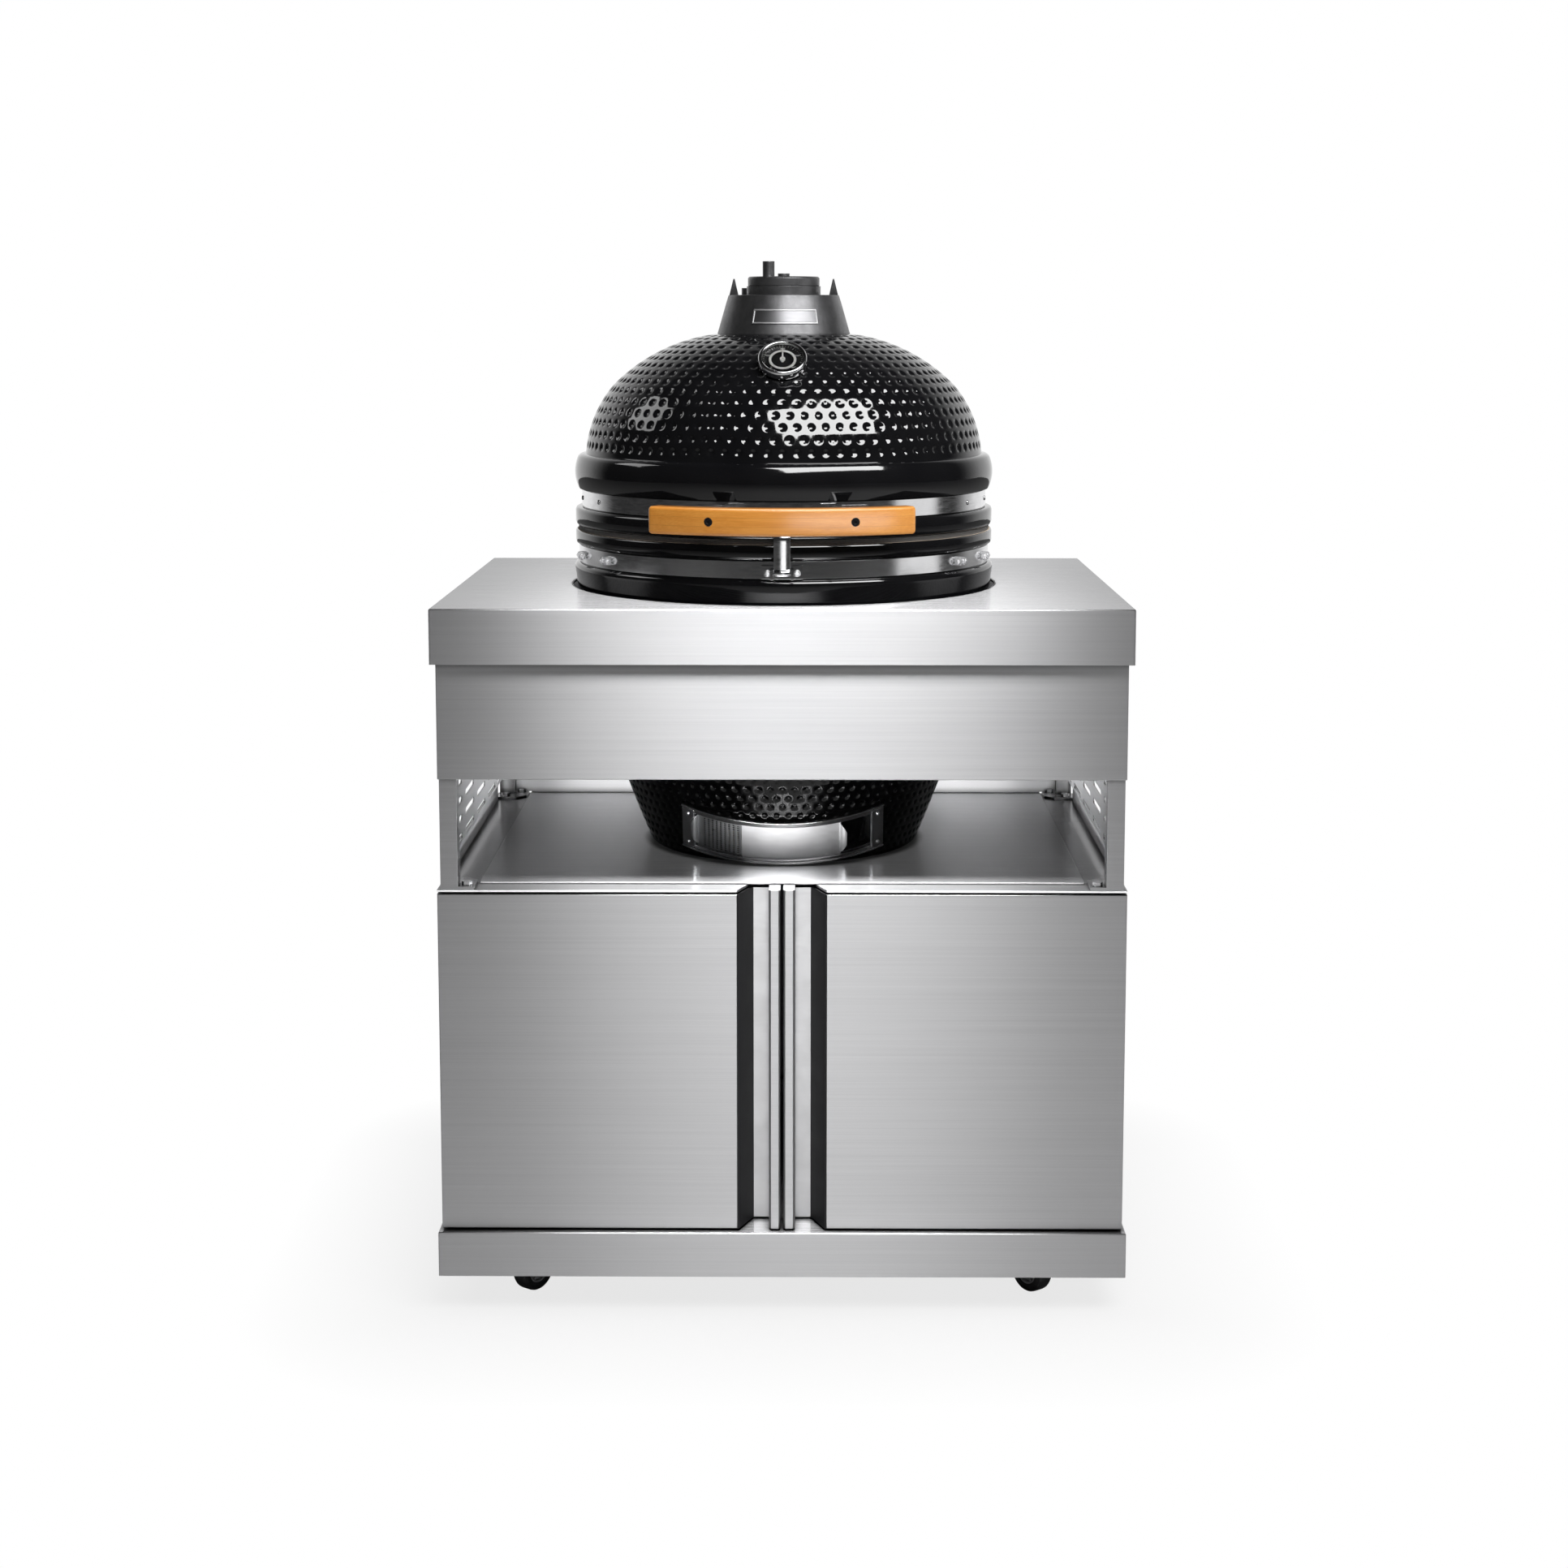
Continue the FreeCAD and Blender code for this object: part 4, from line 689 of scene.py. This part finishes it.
# Sheet metal with rounded bends
def eased(node, radius, chosen, segments=3, adjust=None):
    """A CAD piece again, with the edges that a test picks rounded."""
    work = bmesh.new()
    work.from_mesh(nodes[node].data)
    bmesh.ops.remove_doubles(work, verts=work.verts[:], dist=0.0005 * mm)
    bmesh.ops.dissolve_limit(work, angle_limit=radians(0.3), verts=work.verts[:], edges=work.edges[:])
    if adjust is not None:
        for vertex in work.verts:
            adjust(vertex.co)
    picked = [edge for edge in work.edges
              if len(edge.link_faces) == 2 and edge.calc_face_angle() > radians(30)
              and chosen(*[vertex.co / mm for vertex in edge.verts])]
    bent = bmesh.ops.bevel(work, geom=picked, offset=radius * mm, segments=segments, profile=0.5,
                           affect="EDGES")
    bent = set(bent["faces"])
    for face in work.faces:
        face.smooth = face in bent or face.calc_area() < (3 * mm) ** 2
    mesh = bpy.data.meshes.new(node + "_eased")
    work.to_mesh(mesh)
    work.free()
    mesh.set_sharp_from_angle(angle=radians(40))
    thing = piece(node + "_eased", mesh, body_of_node[node], slot_of_node[node], finish_of_node[node])
    worked(thing, "WEIGHTED_NORMAL", keep_sharp=True, weight=100)
    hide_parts(node)


def touches(axis, value, reach=0.05):
    """A test for edges that lie in the plane where one coordinate has a value."""
    return lambda a, b: abs(a[axis] - value) < reach and abs(b[axis] - value) < reach


def outer_bends(node, open_below=True):
    """A test for the edges on the outside of a folded tray or frame."""
    least, most = low(node), high(node)
    sides = [touches(axis, corner[axis]) for axis in (0, 1) for corner in (least, most)]
    rim = touches(2, least.z)
    return lambda a, b: any(side(a, b) for side in sides) and not (open_below and rim(a, b))


eased("worktop", 2.2, outer_bends("worktop"))
eased("apron", 1.2, outer_bends("apron", open_below=False), 2)
eased("plinth", 1.8, outer_bends("plinth"))
for front, radius, segments in (("door_left_panel", 1.4, 3), ("door_right_panel", 1.4, 3),
                                ("deck", 1.0, 2), ("deck_plate", 1.0, 2)):
    eased(front, radius, touches(1, low(front).y), segments)


def back_strip():
    """Closes the slit under the bay's back panel, clear of the plate and feet."""
    panel_low, panel_high = low("upper_back_panel"), high("upper_back_panel")
    top, half, inner = panel_low.z, panel_high.x, 384
    plate_z, foot_z = high("deck_plate").z + 0.6, high("deck_plate").z + 1.7
    outline = [(-half, top), (-half, foot_z), (-inner, foot_z), (-inner, plate_z),
               (inner, plate_z), (inner, foot_z), (half, foot_z), (half, top)]
    skin = Skin()
    skin.prism(*[[skin.add((x, y, z)) for x, z in outline] for y in (panel_high.y, panel_low.y)])
    piece("bay_back_strip", skin.mesh("bay_back_strip"), "root", "steel", steel)


def door_webs():
    """The bright flats between each door's black recess and its pull."""
    for side in ("left", "right"):
        recess, grip = "door_%s_recess" % side, "door_%s_grip" % side
        start, end = (recess, grip) if side == "left" else (grip, recess)
        back = high(grip).y - 0.1
        skin = Skin().box((high(start).x + 0.2, back - 0.3, low(recess).z + 0.3),
                          (low(end).x - 0.2, back, high(recess).z - 0.3))
        name = "door_%s_web" % side
        piece(name, skin.mesh(name), "door_" + side, "steel", satin_steel)


back_strip()
door_webs()


# Chimney cap and damper with eased rims and wedge-shaped lugs
def cap_forms():
    shelf = low("vent_cap").z + 52

    def wedge(co):
        x, y, z = abs(co.x) / mm, abs(co.y) / mm, co.z / mm
        at_tip = z > shelf + 10
        if x <= 66 or y > 7.5 or z < shelf - 0.05:
            return
        if x > 72:
            reach = 68.2 if at_tip else 73.5
        else:
            reach = 66.4 if at_tip else 61.5
        co.x = copysign(reach * mm, co.x)

    def radii(a, b):
        """The radii of a level edge's two ends, or nothing for another edge."""
        level = abs(a.z - b.z) < 0.05
        return (a.xy.length, b.xy.length) if level else (0.0, 0.0)

    def cap_rim(a, b):
        first, last = radii(a, b)
        return first > 74.5 and last > 47 and a.z > shelf - 1 and abs(a.x) < 76

    eased("vent_cap", 0.9, cap_rim, 2, wedge)
    eased("damper_disc", 0.7, lambda a, b: radii(a, b)[0] > 46, 2)


cap_forms()


# Name plate on the chimney cap, left bare
def name_plate():
    cap = low("vent_cap").z
    half_turn, turn, mean_radius = 30.5, 1.7, 86
    base, top = cap + 13.6, cap + 33.2
    per_degree = radians(mean_radius)

    def place(u, v, level):
        return front_turn(u, 90 - (v - cap) * 15 / 52 + level, v)

    def front(u, v):
        """Low at the edge, proud in the rim and lower inside."""
        from_edge = min((half_turn - abs(u - turn)) * per_degree, v - base, top - v)
        if from_edge < 0.1:
            return -0.2
        return 1.6 if from_edge < 2.0 else 0.6

    steps = [0.0, 0.5, 1.9, 2.4]
    left, right = turn - half_turn, turn + half_turn
    inset = steps[-1] / per_degree
    columns = [left + step / per_degree for step in steps]
    columns += spaced(left + inset, right - inset, 24)[1:-1]
    columns += [right - step / per_degree for step in steps[::-1]]
    rows = [base + step for step in steps] + [top - step for step in steps[::-1]]
    mesh = Skin().patch(place, columns, rows, front, -0.8).mesh("name_plate")
    smooth(mesh, 30)
    for face in mesh.polygons:
        x, y, z = face.center / mm
        turned = degrees(atan2(x, -y)) - turn
        inside = base + 2.2 < z < top - 2.2 and abs(turned) < half_turn - 1.5
        face.material_index = int(inside and face.normal.y < 0)
    piece("name_plate", mesh, "lid", "bright_steel", satin_steel, plate_steel)


name_plate()

# Dial thermometer, drawn upright and tilted onto the dome
gauge_place = Matrix.Translation((0, -195.586, 1208.8)) @ Matrix.Rotation(radians(42), 4, "X")
dial_start, dial_sweep = 225, 270


def dial_turn(share):
    """The angle at a share of the dial's scale."""
    return radians(dial_start - dial_sweep * share)


def gauge():
    stem = [(0, -59), (4, -59), (4, -1.5), (15.5, -1.5), (15.5, 3), (28.5, 3)]
    rim = [(30.6, 3.8), (31.4, 5.5), (31.4, 12.6), (30.9, 14.6), (29.6, 15.8), (28.2, 16),
           (26.9, 15.4), (26.2, 14.4), (26, 9), (0, 9)]
    case = Skin(gauge_place).lathe(stem + rim, 72)
    finished(case, "gauge_case", "lid", "bright_steel", bright, sharp=35, node="thermometer_case")
    disc = [(0, 8.9), (25.9, 8.9), (25.9, 9.2), (17.6, 9.2), (14.4, 9.2), (0, 9.2)]
    dial = Skin(gauge_place).lathe(disc, 72)
    dial.lathe([(14.4, 9.1), (17.6, 9.1), (17.6, 9.8), (17, 10.2), (15, 10.2), (14.4, 9.8)], 72, 2)
    dial.lathe([(0, 9.1), (3.4, 9.1), (3.4, 10), (2.6, 10.3), (0, 10.3)], 24, 2)
    marks, per_number = 32, 4
    for k in range(marks + 1):
        inner, half = (23.8, 0.18) if k % per_number else (22.6, 0.35)
        dial.here = gauge_place @ Matrix.Rotation(dial_turn(k / marks), 4, "Z")
        dial.box((inner, -half, 9.15), (25.2, half, 9.3), 2)
    finished(dial, "gauge_dial", "lid", "bright_steel", dial_black, bright, dial_white)


def gauge_numbers():
    for k in range(5):
        text = bpy.data.curves.new("dial_number_%d" % k, "FONT")
        text.body = str(100 * k)
        text.size = 4.2 * mm
        text.extrude = 0.06 * mm
        text.align_x = text.align_y = "CENTER"
        writer = bpy.data.objects.new(text.name, text)
        mesh = bpy.data.meshes.new_from_object(writer)
        bpy.data.objects.remove(writer)
        turn = dial_turn(k / 4)
        spot = Matrix.Translation((20.2 * cos(turn), 20.2 * sin(turn), 9.25))
        mesh.transform(Matrix.Scale(mm, 4) @ gauge_place @ spot @ Matrix.Scale(1 / mm, 4))
        mesh.materials.clear()
        piece(text.name, mesh, "lid", "bright_steel", dial_white)


gauge()
gauge_numbers()


# Draft door: screen, polished slider, rails and end straps
def finger_tab(skin, radius, turn, side):
    """A leaf-shaped tab that leaves the sheet and curls away sideways."""
    curl, curl_turn = 7.0, 96

    def place(u, v, level):
        a = radians(u)
        out = radius - 0.5 + (curl + level) * sin(a)
        aside = curl - (curl + level) * cos(a)
        half = 22 - 13 * (u / curl_turn) ** 2
        return front_turn(turn + side * degrees(aside / radius), out, v * half)

    rows = [sin(a) for a in spaced(-pi / 2, pi / 2, 12)]
    skin.patch(place, spaced(0, curl_turn, 9), rows, 0.0, -1.1)


def draft_pieces():
    half, sheet = 28.6, 1.2
    screen_radius, slide_radius, rail_radius = 207.5, 209.1, 212.5
    start, end, margin_turn, margin = -32.7, 3.3, 2.4, 4.6
    middle = screen_radius + sheet / 2
    hole_width, hole_height, rounding = degrees(3.6 / middle), 2.0, 0.54
    across = int(radians(end - start - 2 * margin_turn) * middle / 5.8)
    down = int((2 * half - 2 * margin) / 3.1)
    hole = [(hole_width * rounding * cos(a), hole_height * rounding * sin(a))
            for a in [full_turn * (k + 0.5) / 8 - pi for k in range(8)]]
    columns = [start] + spaced(start + margin_turn, end - margin_turn, across) + [end]
    rows = [-half] + spaced(-half + margin, half - margin, down) + [half]
    screen = Skin(draft_place).patch(on_drum(screen_radius), columns, rows, sheet, 0.0, hole)
    finger_tab(screen, screen_radius + sheet, -32.2, -1)
    finished(screen, "draft_screen", "draft_screen", "bright_steel", zinc, node="draft_mesh")

    slide = Skin(draft_place)
    slide.patch(on_drum(slide_radius), spaced(-14.7, 21.3, 30), [-half, half], sheet, 0.0)
    finger_tab(slide, slide_radius + sheet, 20.8, 1)
    finished(slide, "draft_slide", "draft_slider", "bright_steel", mirror_steel, node="draft_door")

    trim = Skin(draft_place)
    for z, height, reach in ((31.4, 1.6, 2.0), (-31.4, 1.6, 2.0), (-26.6, 0.9, 0.9)):
        rows = [-height, -height / 2, height / 2, height]
        trim.patch(on_drum(rail_radius, z), spaced(-38.5, 38.5, 40), rows,
                   lambda u, v: (0.4 if abs(v) == height else 1.0) * reach, -0.5)
    for strap in ((-38.3, -33.4), (33.4, 38.3)):
        trim.patch(on_drum(rail_radius), spaced(*strap, 4), [-29, -28.4, 28.4, 29], 1.3, -0.3)
    finished(trim, "draft_rails", "root", "bright_steel", bright)
    screws = Skin()
    for turn, z in ((-35.9, -22), (-35.9, 22), (35.9, -22), (35.9, 22)):
        at = front_turn(turn, rail_radius + 1, z)
        screws.here = draft_place @ Matrix.Translation(at) @ along((at.x, at.y, 0))
        screws.lathe([(0, 0), (2.9, 0), (2.9, 0.8), (2.2, 1.7), (1, 2), (0, 2)], 16)
    finished(screws, "draft_screws", "root", "bright_steel", zinc)


draft_pieces()


# Casters
def caster_wheels():
    tyre = [(19.2, -10.4), (20.5, -11), (25.5, -11), (28.4, -10.2), (29.6, -8.2), (30, -5.5)]
    hub = [(4.1, -10.6), (7.5, -10.6), (8.3, -9.8), (8.6, -6.5), (16.4, -5.6), (17.2, -9.4), (19.2, -10.2)]
    tyre += [(r, -z) for r, z in tyre[::-1]]
    hub += [(r, -z) for r, z in hub[::-1]]
    joints = {row["name"]: row for row in behaviour["joints"]}
    for corner in ("fl", "fr", "rl", "rr"):
        node = "caster_wheel_" + corner
        centre = (low(node) + high(node)) / 2
        place = Matrix.Translation(centre) @ along(joints["roll_" + corner]["axis"])
        skin = Skin(place).lathe(tyre, 64).lathe(hub, 48, 1)
        for k in range(6):
            skin.here = place @ Matrix.Rotation(full_turn * k / 6, 4, "Z")
            for z in (-9.0, 5.2):
                skin.box((8, -0.9, z), (17, 0.9, z + 3.8), 1)
        finished(skin, "wheel_" + corner, "wheel_" + corner, "tyre", rubber, hub_plastic, node=node)


caster_wheels()


# Wooden handle
def handle_bar():
    inner, outer, middle = 310, 332, 321
    base, top = low("handle").z, high("handle").z
    half = degrees(asin(162.5 / middle))
    corners = ((outer, -1, base, 1, 4.5), (outer, -1, top, -1, 4.5),
               (inner, 1, top, -1, 2.5), (inner, 1, base, 1, 2.5))

    def section(inset):
        """Corner arcs of the bar's section, anticlockwise from the lower front edge."""
        points = []
        for (r, in_r, z, in_z, radius), first in zip(corners, (-90, 0, 90, 180)):
            back = radius + inset * 0.6
            points += [(r + in_r * back + radius * cos(a), z + in_z * back + radius * sin(a))
                       for a in spaced(radians(first), radians(first + 90), 5)]
        return points

    skin = Skin()
    ends = [(0.0, 3.2), (0.7, 1.6), (1.9, 0.5), (3.6, 0.0)]
    to_turn = degrees(1 / middle)
    stations = [(-half + d * to_turn, inset) for d, inset in ends]
    stations += [(a, 0.0) for a in spaced(-half + 4.5 * to_turn, half - 4.5 * to_turn, 48)]
    stations += [(half - d * to_turn, inset) for d, inset in ends[::-1]]
    loops = [[skin.add(front_turn(turn, r, z)) for r, z in section(inset)] for turn, inset in stations]
    for left, right in zip(loops, loops[1:]):
        skin.join(right, left)
    skin.quad(*loops[0])
    skin.quad(*loops[-1][::-1])
    mesh = skin.mesh("handle_bar")
    bar = piece("handle_bar", mesh, "lid", "bamboo", bamboo_wood)
    for turn in (-16, 16):
        at = front_turn(turn, 324.5, (base + top) / 2)
        hole = Skin(Matrix.Translation(at) @ along((at.x, at.y, 0)))
        carve(bar, hole.lathe([(0, 0), (5.7, 0), (5.7, 9), (0, 9)], 32))
    smooth(mesh, 35)
    bar.visible_glossy = False
    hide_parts("handle")


handle_bar()


# Clamps of the lower band, rivets and handle screws of the lid
def band_fasteners():
    band_low, band_high = low("base_band"), high("base_band")
    lie = Matrix.Translation((0, 0, 4.6)) @ Matrix.Rotation(radians(90), 4, "Y")
    skin = Skin()
    for turn in (-72, -55, 55, 72):
        skin.here = radial(turn, band_high.x, (band_low.z + band_high.z) / 2)
        for at in (-5.6, 3.2):
            skin.box((at, -5.2, -0.6), (at + 2.4, 5.2, 7.4))
        skin.here = skin.here @ lie
        skin.lathe([(0, -11.5), (2.3, -11.5), (2.3, 12), (0, 12)], 16)
        skin.lathe([(0, -9.6), (4.4, -9.6), (4.6, -9.2), (4.6, -6.2), (4.4, -5.8), (0, -5.8)], 6)
        skin.lathe([(0, 5.8), (4.4, 5.8), (4.6, 6.2), (4.6, 9.8), (4, 10.4), (0, 10.4)], 6)
    finished(skin, "band_clamps", "root", "bright_steel", satin_steel, node="base_band_nuts")

    band_low, band_high = low("lid_band"), high("lid_band")
    skin = Skin()
    for turn in (-80, -62, 62, 80):
        skin.here = radial(turn, band_high.x, (band_low.z + band_high.z) / 2)
        skin.lathe([(0, -1.5), (3.2, -1.5), (3.2, 0.5), (2.6, 1.3), (1.2, 1.7), (0, 1.8)], 20)
    for turn in (-16, 16):
        skin.here = radial(turn, 328.2, (low("handle").z + high("handle").z) / 2)
        skin.lathe([(0, -20), (2.6, -20), (2.6, 0), (5.4, 0), (5.4, 2.2), (4.9, 2.9), (2.4, 3), (2.2, 1.4),
                    (0, 1.3)], 24, 1)
    finished(skin, "lid_rivets_and_screws", "lid", "bright_steel", bright, black_oxide, node="lid_fasteners")


band_fasteners()


# Front latch
def latch():
    pivot_y, pivot_z = -289, low("latch_arm").z + 5
    half, length, bent = 10.5, 48, 7.5

    def place(u, v, level):
        bend = max(0.0, v - (length - bent)) / bent
        y = pivot_y - 2.4 + 1.5 * (abs(u) / half) ** 2.6 + 2.0 * bend ** 2
        return Vector((u, y + level, pivot_z + v))

    rows = [0, 20, 38, 40.5, 42.5, 44.5, 46.5, 47.6]
    lever = Skin().patch(place, spaced(-half, half, 14), rows, 0.0, 2.2)
    lever.here = Matrix.Translation((0, pivot_y, pivot_z)) @ along((1, 0, 0))
    lever.lathe([(3.1, -half), (4.6, -half), (5, -half + 0.4), (5, half - 0.4), (4.6, half), (3.1, half)], 32)
    finished(lever, "latch_lever", "latch", "bright_steel", bright, sharp=50, node="latch_arm")
    bolts = Skin()
    for x in (-18.8, 18.8):
        bolts.here = Matrix.Translation((x, pivot_y + 5.2, pivot_z - 0.6)) @ along((0, -1, 0))
        bolts.lathe([(0, 0), (4.6, 0), (4.6, 0.8), (3.4, 0.9), (0, 0.9)], 24)
        bolts.lathe([(0, 0.6), (3.6, 0.6), (3.6, 2.6), (3.1, 3.1), (0, 3.2)], 6)
    finished(bolts, "latch_bolts", "root", "bright_steel", bright)


latch()


# Light, camera and stage, in metres
def backdrop_world():
    """White for the camera; reflections see a white sweep behind and a dim room in front."""
    bpy.context.scene.world = bpy.data.worlds.new("studio")
    g = Graph(bpy.context.scene.world)

    def fall(axis, start, end, first, last):
        direction = g.axis(g.coords["Generated"], axis)
        return g.spread(direction, first, last, start, end, interpolation_type="SMOOTHSTEP")

    level = g.math("MULTIPLY", fall(1, 0.35, 0.8, 0.03, 1.0), fall(2, 0.25, 0.85, 1.0, 0.2))
    room, sky = [g.node("Background", {"Color": white, "Strength": strength}) for strength in (level, 1.0)]
    g.end("World", g.node("MixShader", {0: g.node("LightPath", out="Is Camera Ray"), 1: room, 2: sky}))


def floor():
    """A pale floor with a faint shadow, which turns white away from the object."""
    mesh = bpy.data.meshes.new("floor")
    r = 8.0
    mesh.from_pydata([(-r, -r, 0), (r, -r, 0), (r, r, 0), (-r, r, 0)], [], [(0, 1, 2, 3)])
    ground = in_scene("floor", mesh)
    g = Graph("floor_paper")
    paper = g.node("BsdfPrincipled", {"Base Color": (0.86, 0.86, 0.86, 1.0), "Roughness": 0.7})
    beyond = [g.math("SUBTRACT", g.math("ABSOLUTE", g.axis(g.coords["Object"], axis)), half)
              for axis, half in ((0, 0.4), (1, 0.3))]
    squares = [g.math("POWER", g.math("MAXIMUM", distance, 0.0), 2.0) for distance in beyond]
    far = g.spread(g.math("SQRT", g.math("ADD", *squares)), 0.78, 1.0, 0.0, 0.3)
    seen = g.math("MULTIPLY", far, g.node("LightPath", out="Is Camera Ray"))
    g.end("Material", g.node("MixShader", {0: seen, 1: paper, 2: g.node("Emission", {"Color": white})}))
    mesh.materials.append(g.owner)


backdrop_world()
floor()


def fading(lamp, half_width):
    """Fades a lamp from its middle to nothing at its two ends."""
    g = Graph(lamp.data)
    x = g.axis(g.node("NewGeometry", out="Position"), 0)
    share = g.math("DIVIDE", g.math("SUBTRACT", x, lamp.location.x), half_width)
    strength = g.math("SUBTRACT", 1.0, g.math("POWER", share, 2.0), use_clamp=True)
    g.end("Light", g.node("Emission", {"Strength": strength}))


def lamps(chosen, *rows):
    """Soft lamps for the pieces whose names and finishes a test picks. A row is a name, place, target,
    width, height and radiance. Gives the last lamp."""
    group = bpy.data.collections.new(rows[0][0] + "_receivers")
    for thing in bpy.context.scene.objects:
        if thing.type == "MESH" and chosen(thing.name, {m.name for m in thing.data.materials if m}):
            group.objects.link(thing)
    for name, place, target, width, height, radiance in rows:
        data = bpy.data.lights.new(name, "AREA")
        data.shape = "RECTANGLE"
        data.size, data.size_y = width, height
        data.energy = radiance * pi * width * height
        lamp = in_scene(name, data)
        lamp.location = place
        lamp.rotation_euler = (Vector(target) - Vector(place)).to_track_quat("-Z", "Y").to_euler()
        lamp.visible_camera = False
        lamp.light_linking.receiver_collection = group
    return lamp


def named(*starts):
    return lambda name, finishes: name.startswith(starts)


def made_of(*wanted):
    return lambda name, finishes: finishes & set(wanted)


key_place, key_target, key_size = (0.95, -1.75, 2.95), (0.04, -0.2, 1.1), (2.6, 1.5)
front_place, front_target, front_size = (0, -2.8, 0.75), (0, 0, 0.65), (2.4, 0.8)
side_target, side_size = (0, 0, 0.6), (1.8, 1.6)
own_light = {"black_glaze", "brushed_steel", "deck_steel"}

lamps(lambda name, finishes: not finishes & own_light and name not in ("latch_bracket", "post_bolts"),
      ("key_softbox", key_place, key_target, *key_size, 6),
      ("right_panel", (2.6, -0.6, 0.9), (0, 0, 0.9), 1.4, 1.2, 0.9))
lamps(made_of("black_glaze"),
      ("glaze_key", key_place, key_target, *key_size, 18),
      ("glaze_left", (-2.2, 0.25, 2.45), (0, 0, 1.1), 1, 0.9, 3.5))
fading(lamps(made_of("brushed_steel", "deck_steel"),
             ("sheet_softbox", (0.01, -0.78, 2), (0.01, -0.32, 0.87), 1.32, 0.36, 43)), 0.53)
lamps(made_of("brushed_steel"),
      ("sheet_low", (0, -1.2, 0.1), (0, -0.32, 0.1), 1.8, 0.25, 0.6),
      ("side_fill_left", (-2.8, 0.1, 0.9), side_target, *side_size, 0.8),
      ("side_fill_right", (2.8, 0.1, 0.9), side_target, *side_size, 0.8))
lamps(named("deck", "upper_back_panel", "bay_back_strip"),
      ("bay_fill", front_place, front_target, *front_size, 10))
lamps(named("vent_panel", "post_bolts"),
      ("vent_fill", front_place, front_target, *front_size, 1.6))
lamps(named("draft"),
      ("draft_fill", (-0.06, -0.7, 0.44), (0, -0.2, 0.64), 0.64, 0.14, 24))
lamps(named("door_left_web", "door_right_web"),
      ("web_fill", (0, -2.6, 0.4), (0, -0.28, 0.33), 0.6, 0.8, 7))
lamps(named("latch_lever", "latch_bolts"),
      ("latch_fill", (0.12, -1.7, 0.85), (0, -0.29, 0.97), 0.35, 0.4, 1.7))
lamps(named("band_clamps", "handle_arms"),
      ("clamp_fill", (0, -2.2, 1.9), (0, 0, 0.95), 2.6, 0.5, 6))
lamps(named("handle_bar"),
      ("handle_top", (0, -0.45, 2.6), (0, -0.31, 1.03), 1.2, 0.6, 9),
      ("handle_front", (1, -2.2, 0.88), (0, -0.31, 1.02), 2, 0.5, 4))


def camera():
    """High in front, tilted down, with a shift that keeps the uprights nearly parallel."""
    data = bpy.data.cameras.new("camera")
    data.sensor_width = 36.0
    data.lens = 56.01
    data.shift_y = -0.12
    thing = in_scene("camera", data)
    thing.location = (0.0254, -3.331, 1.271)
    thing.rotation_euler = (radians(90 - 6.53), 0.0, 0.00752)
    bpy.context.scene.camera = thing


camera()
bpy.context.scene.view_settings.view_transform = "Standard"
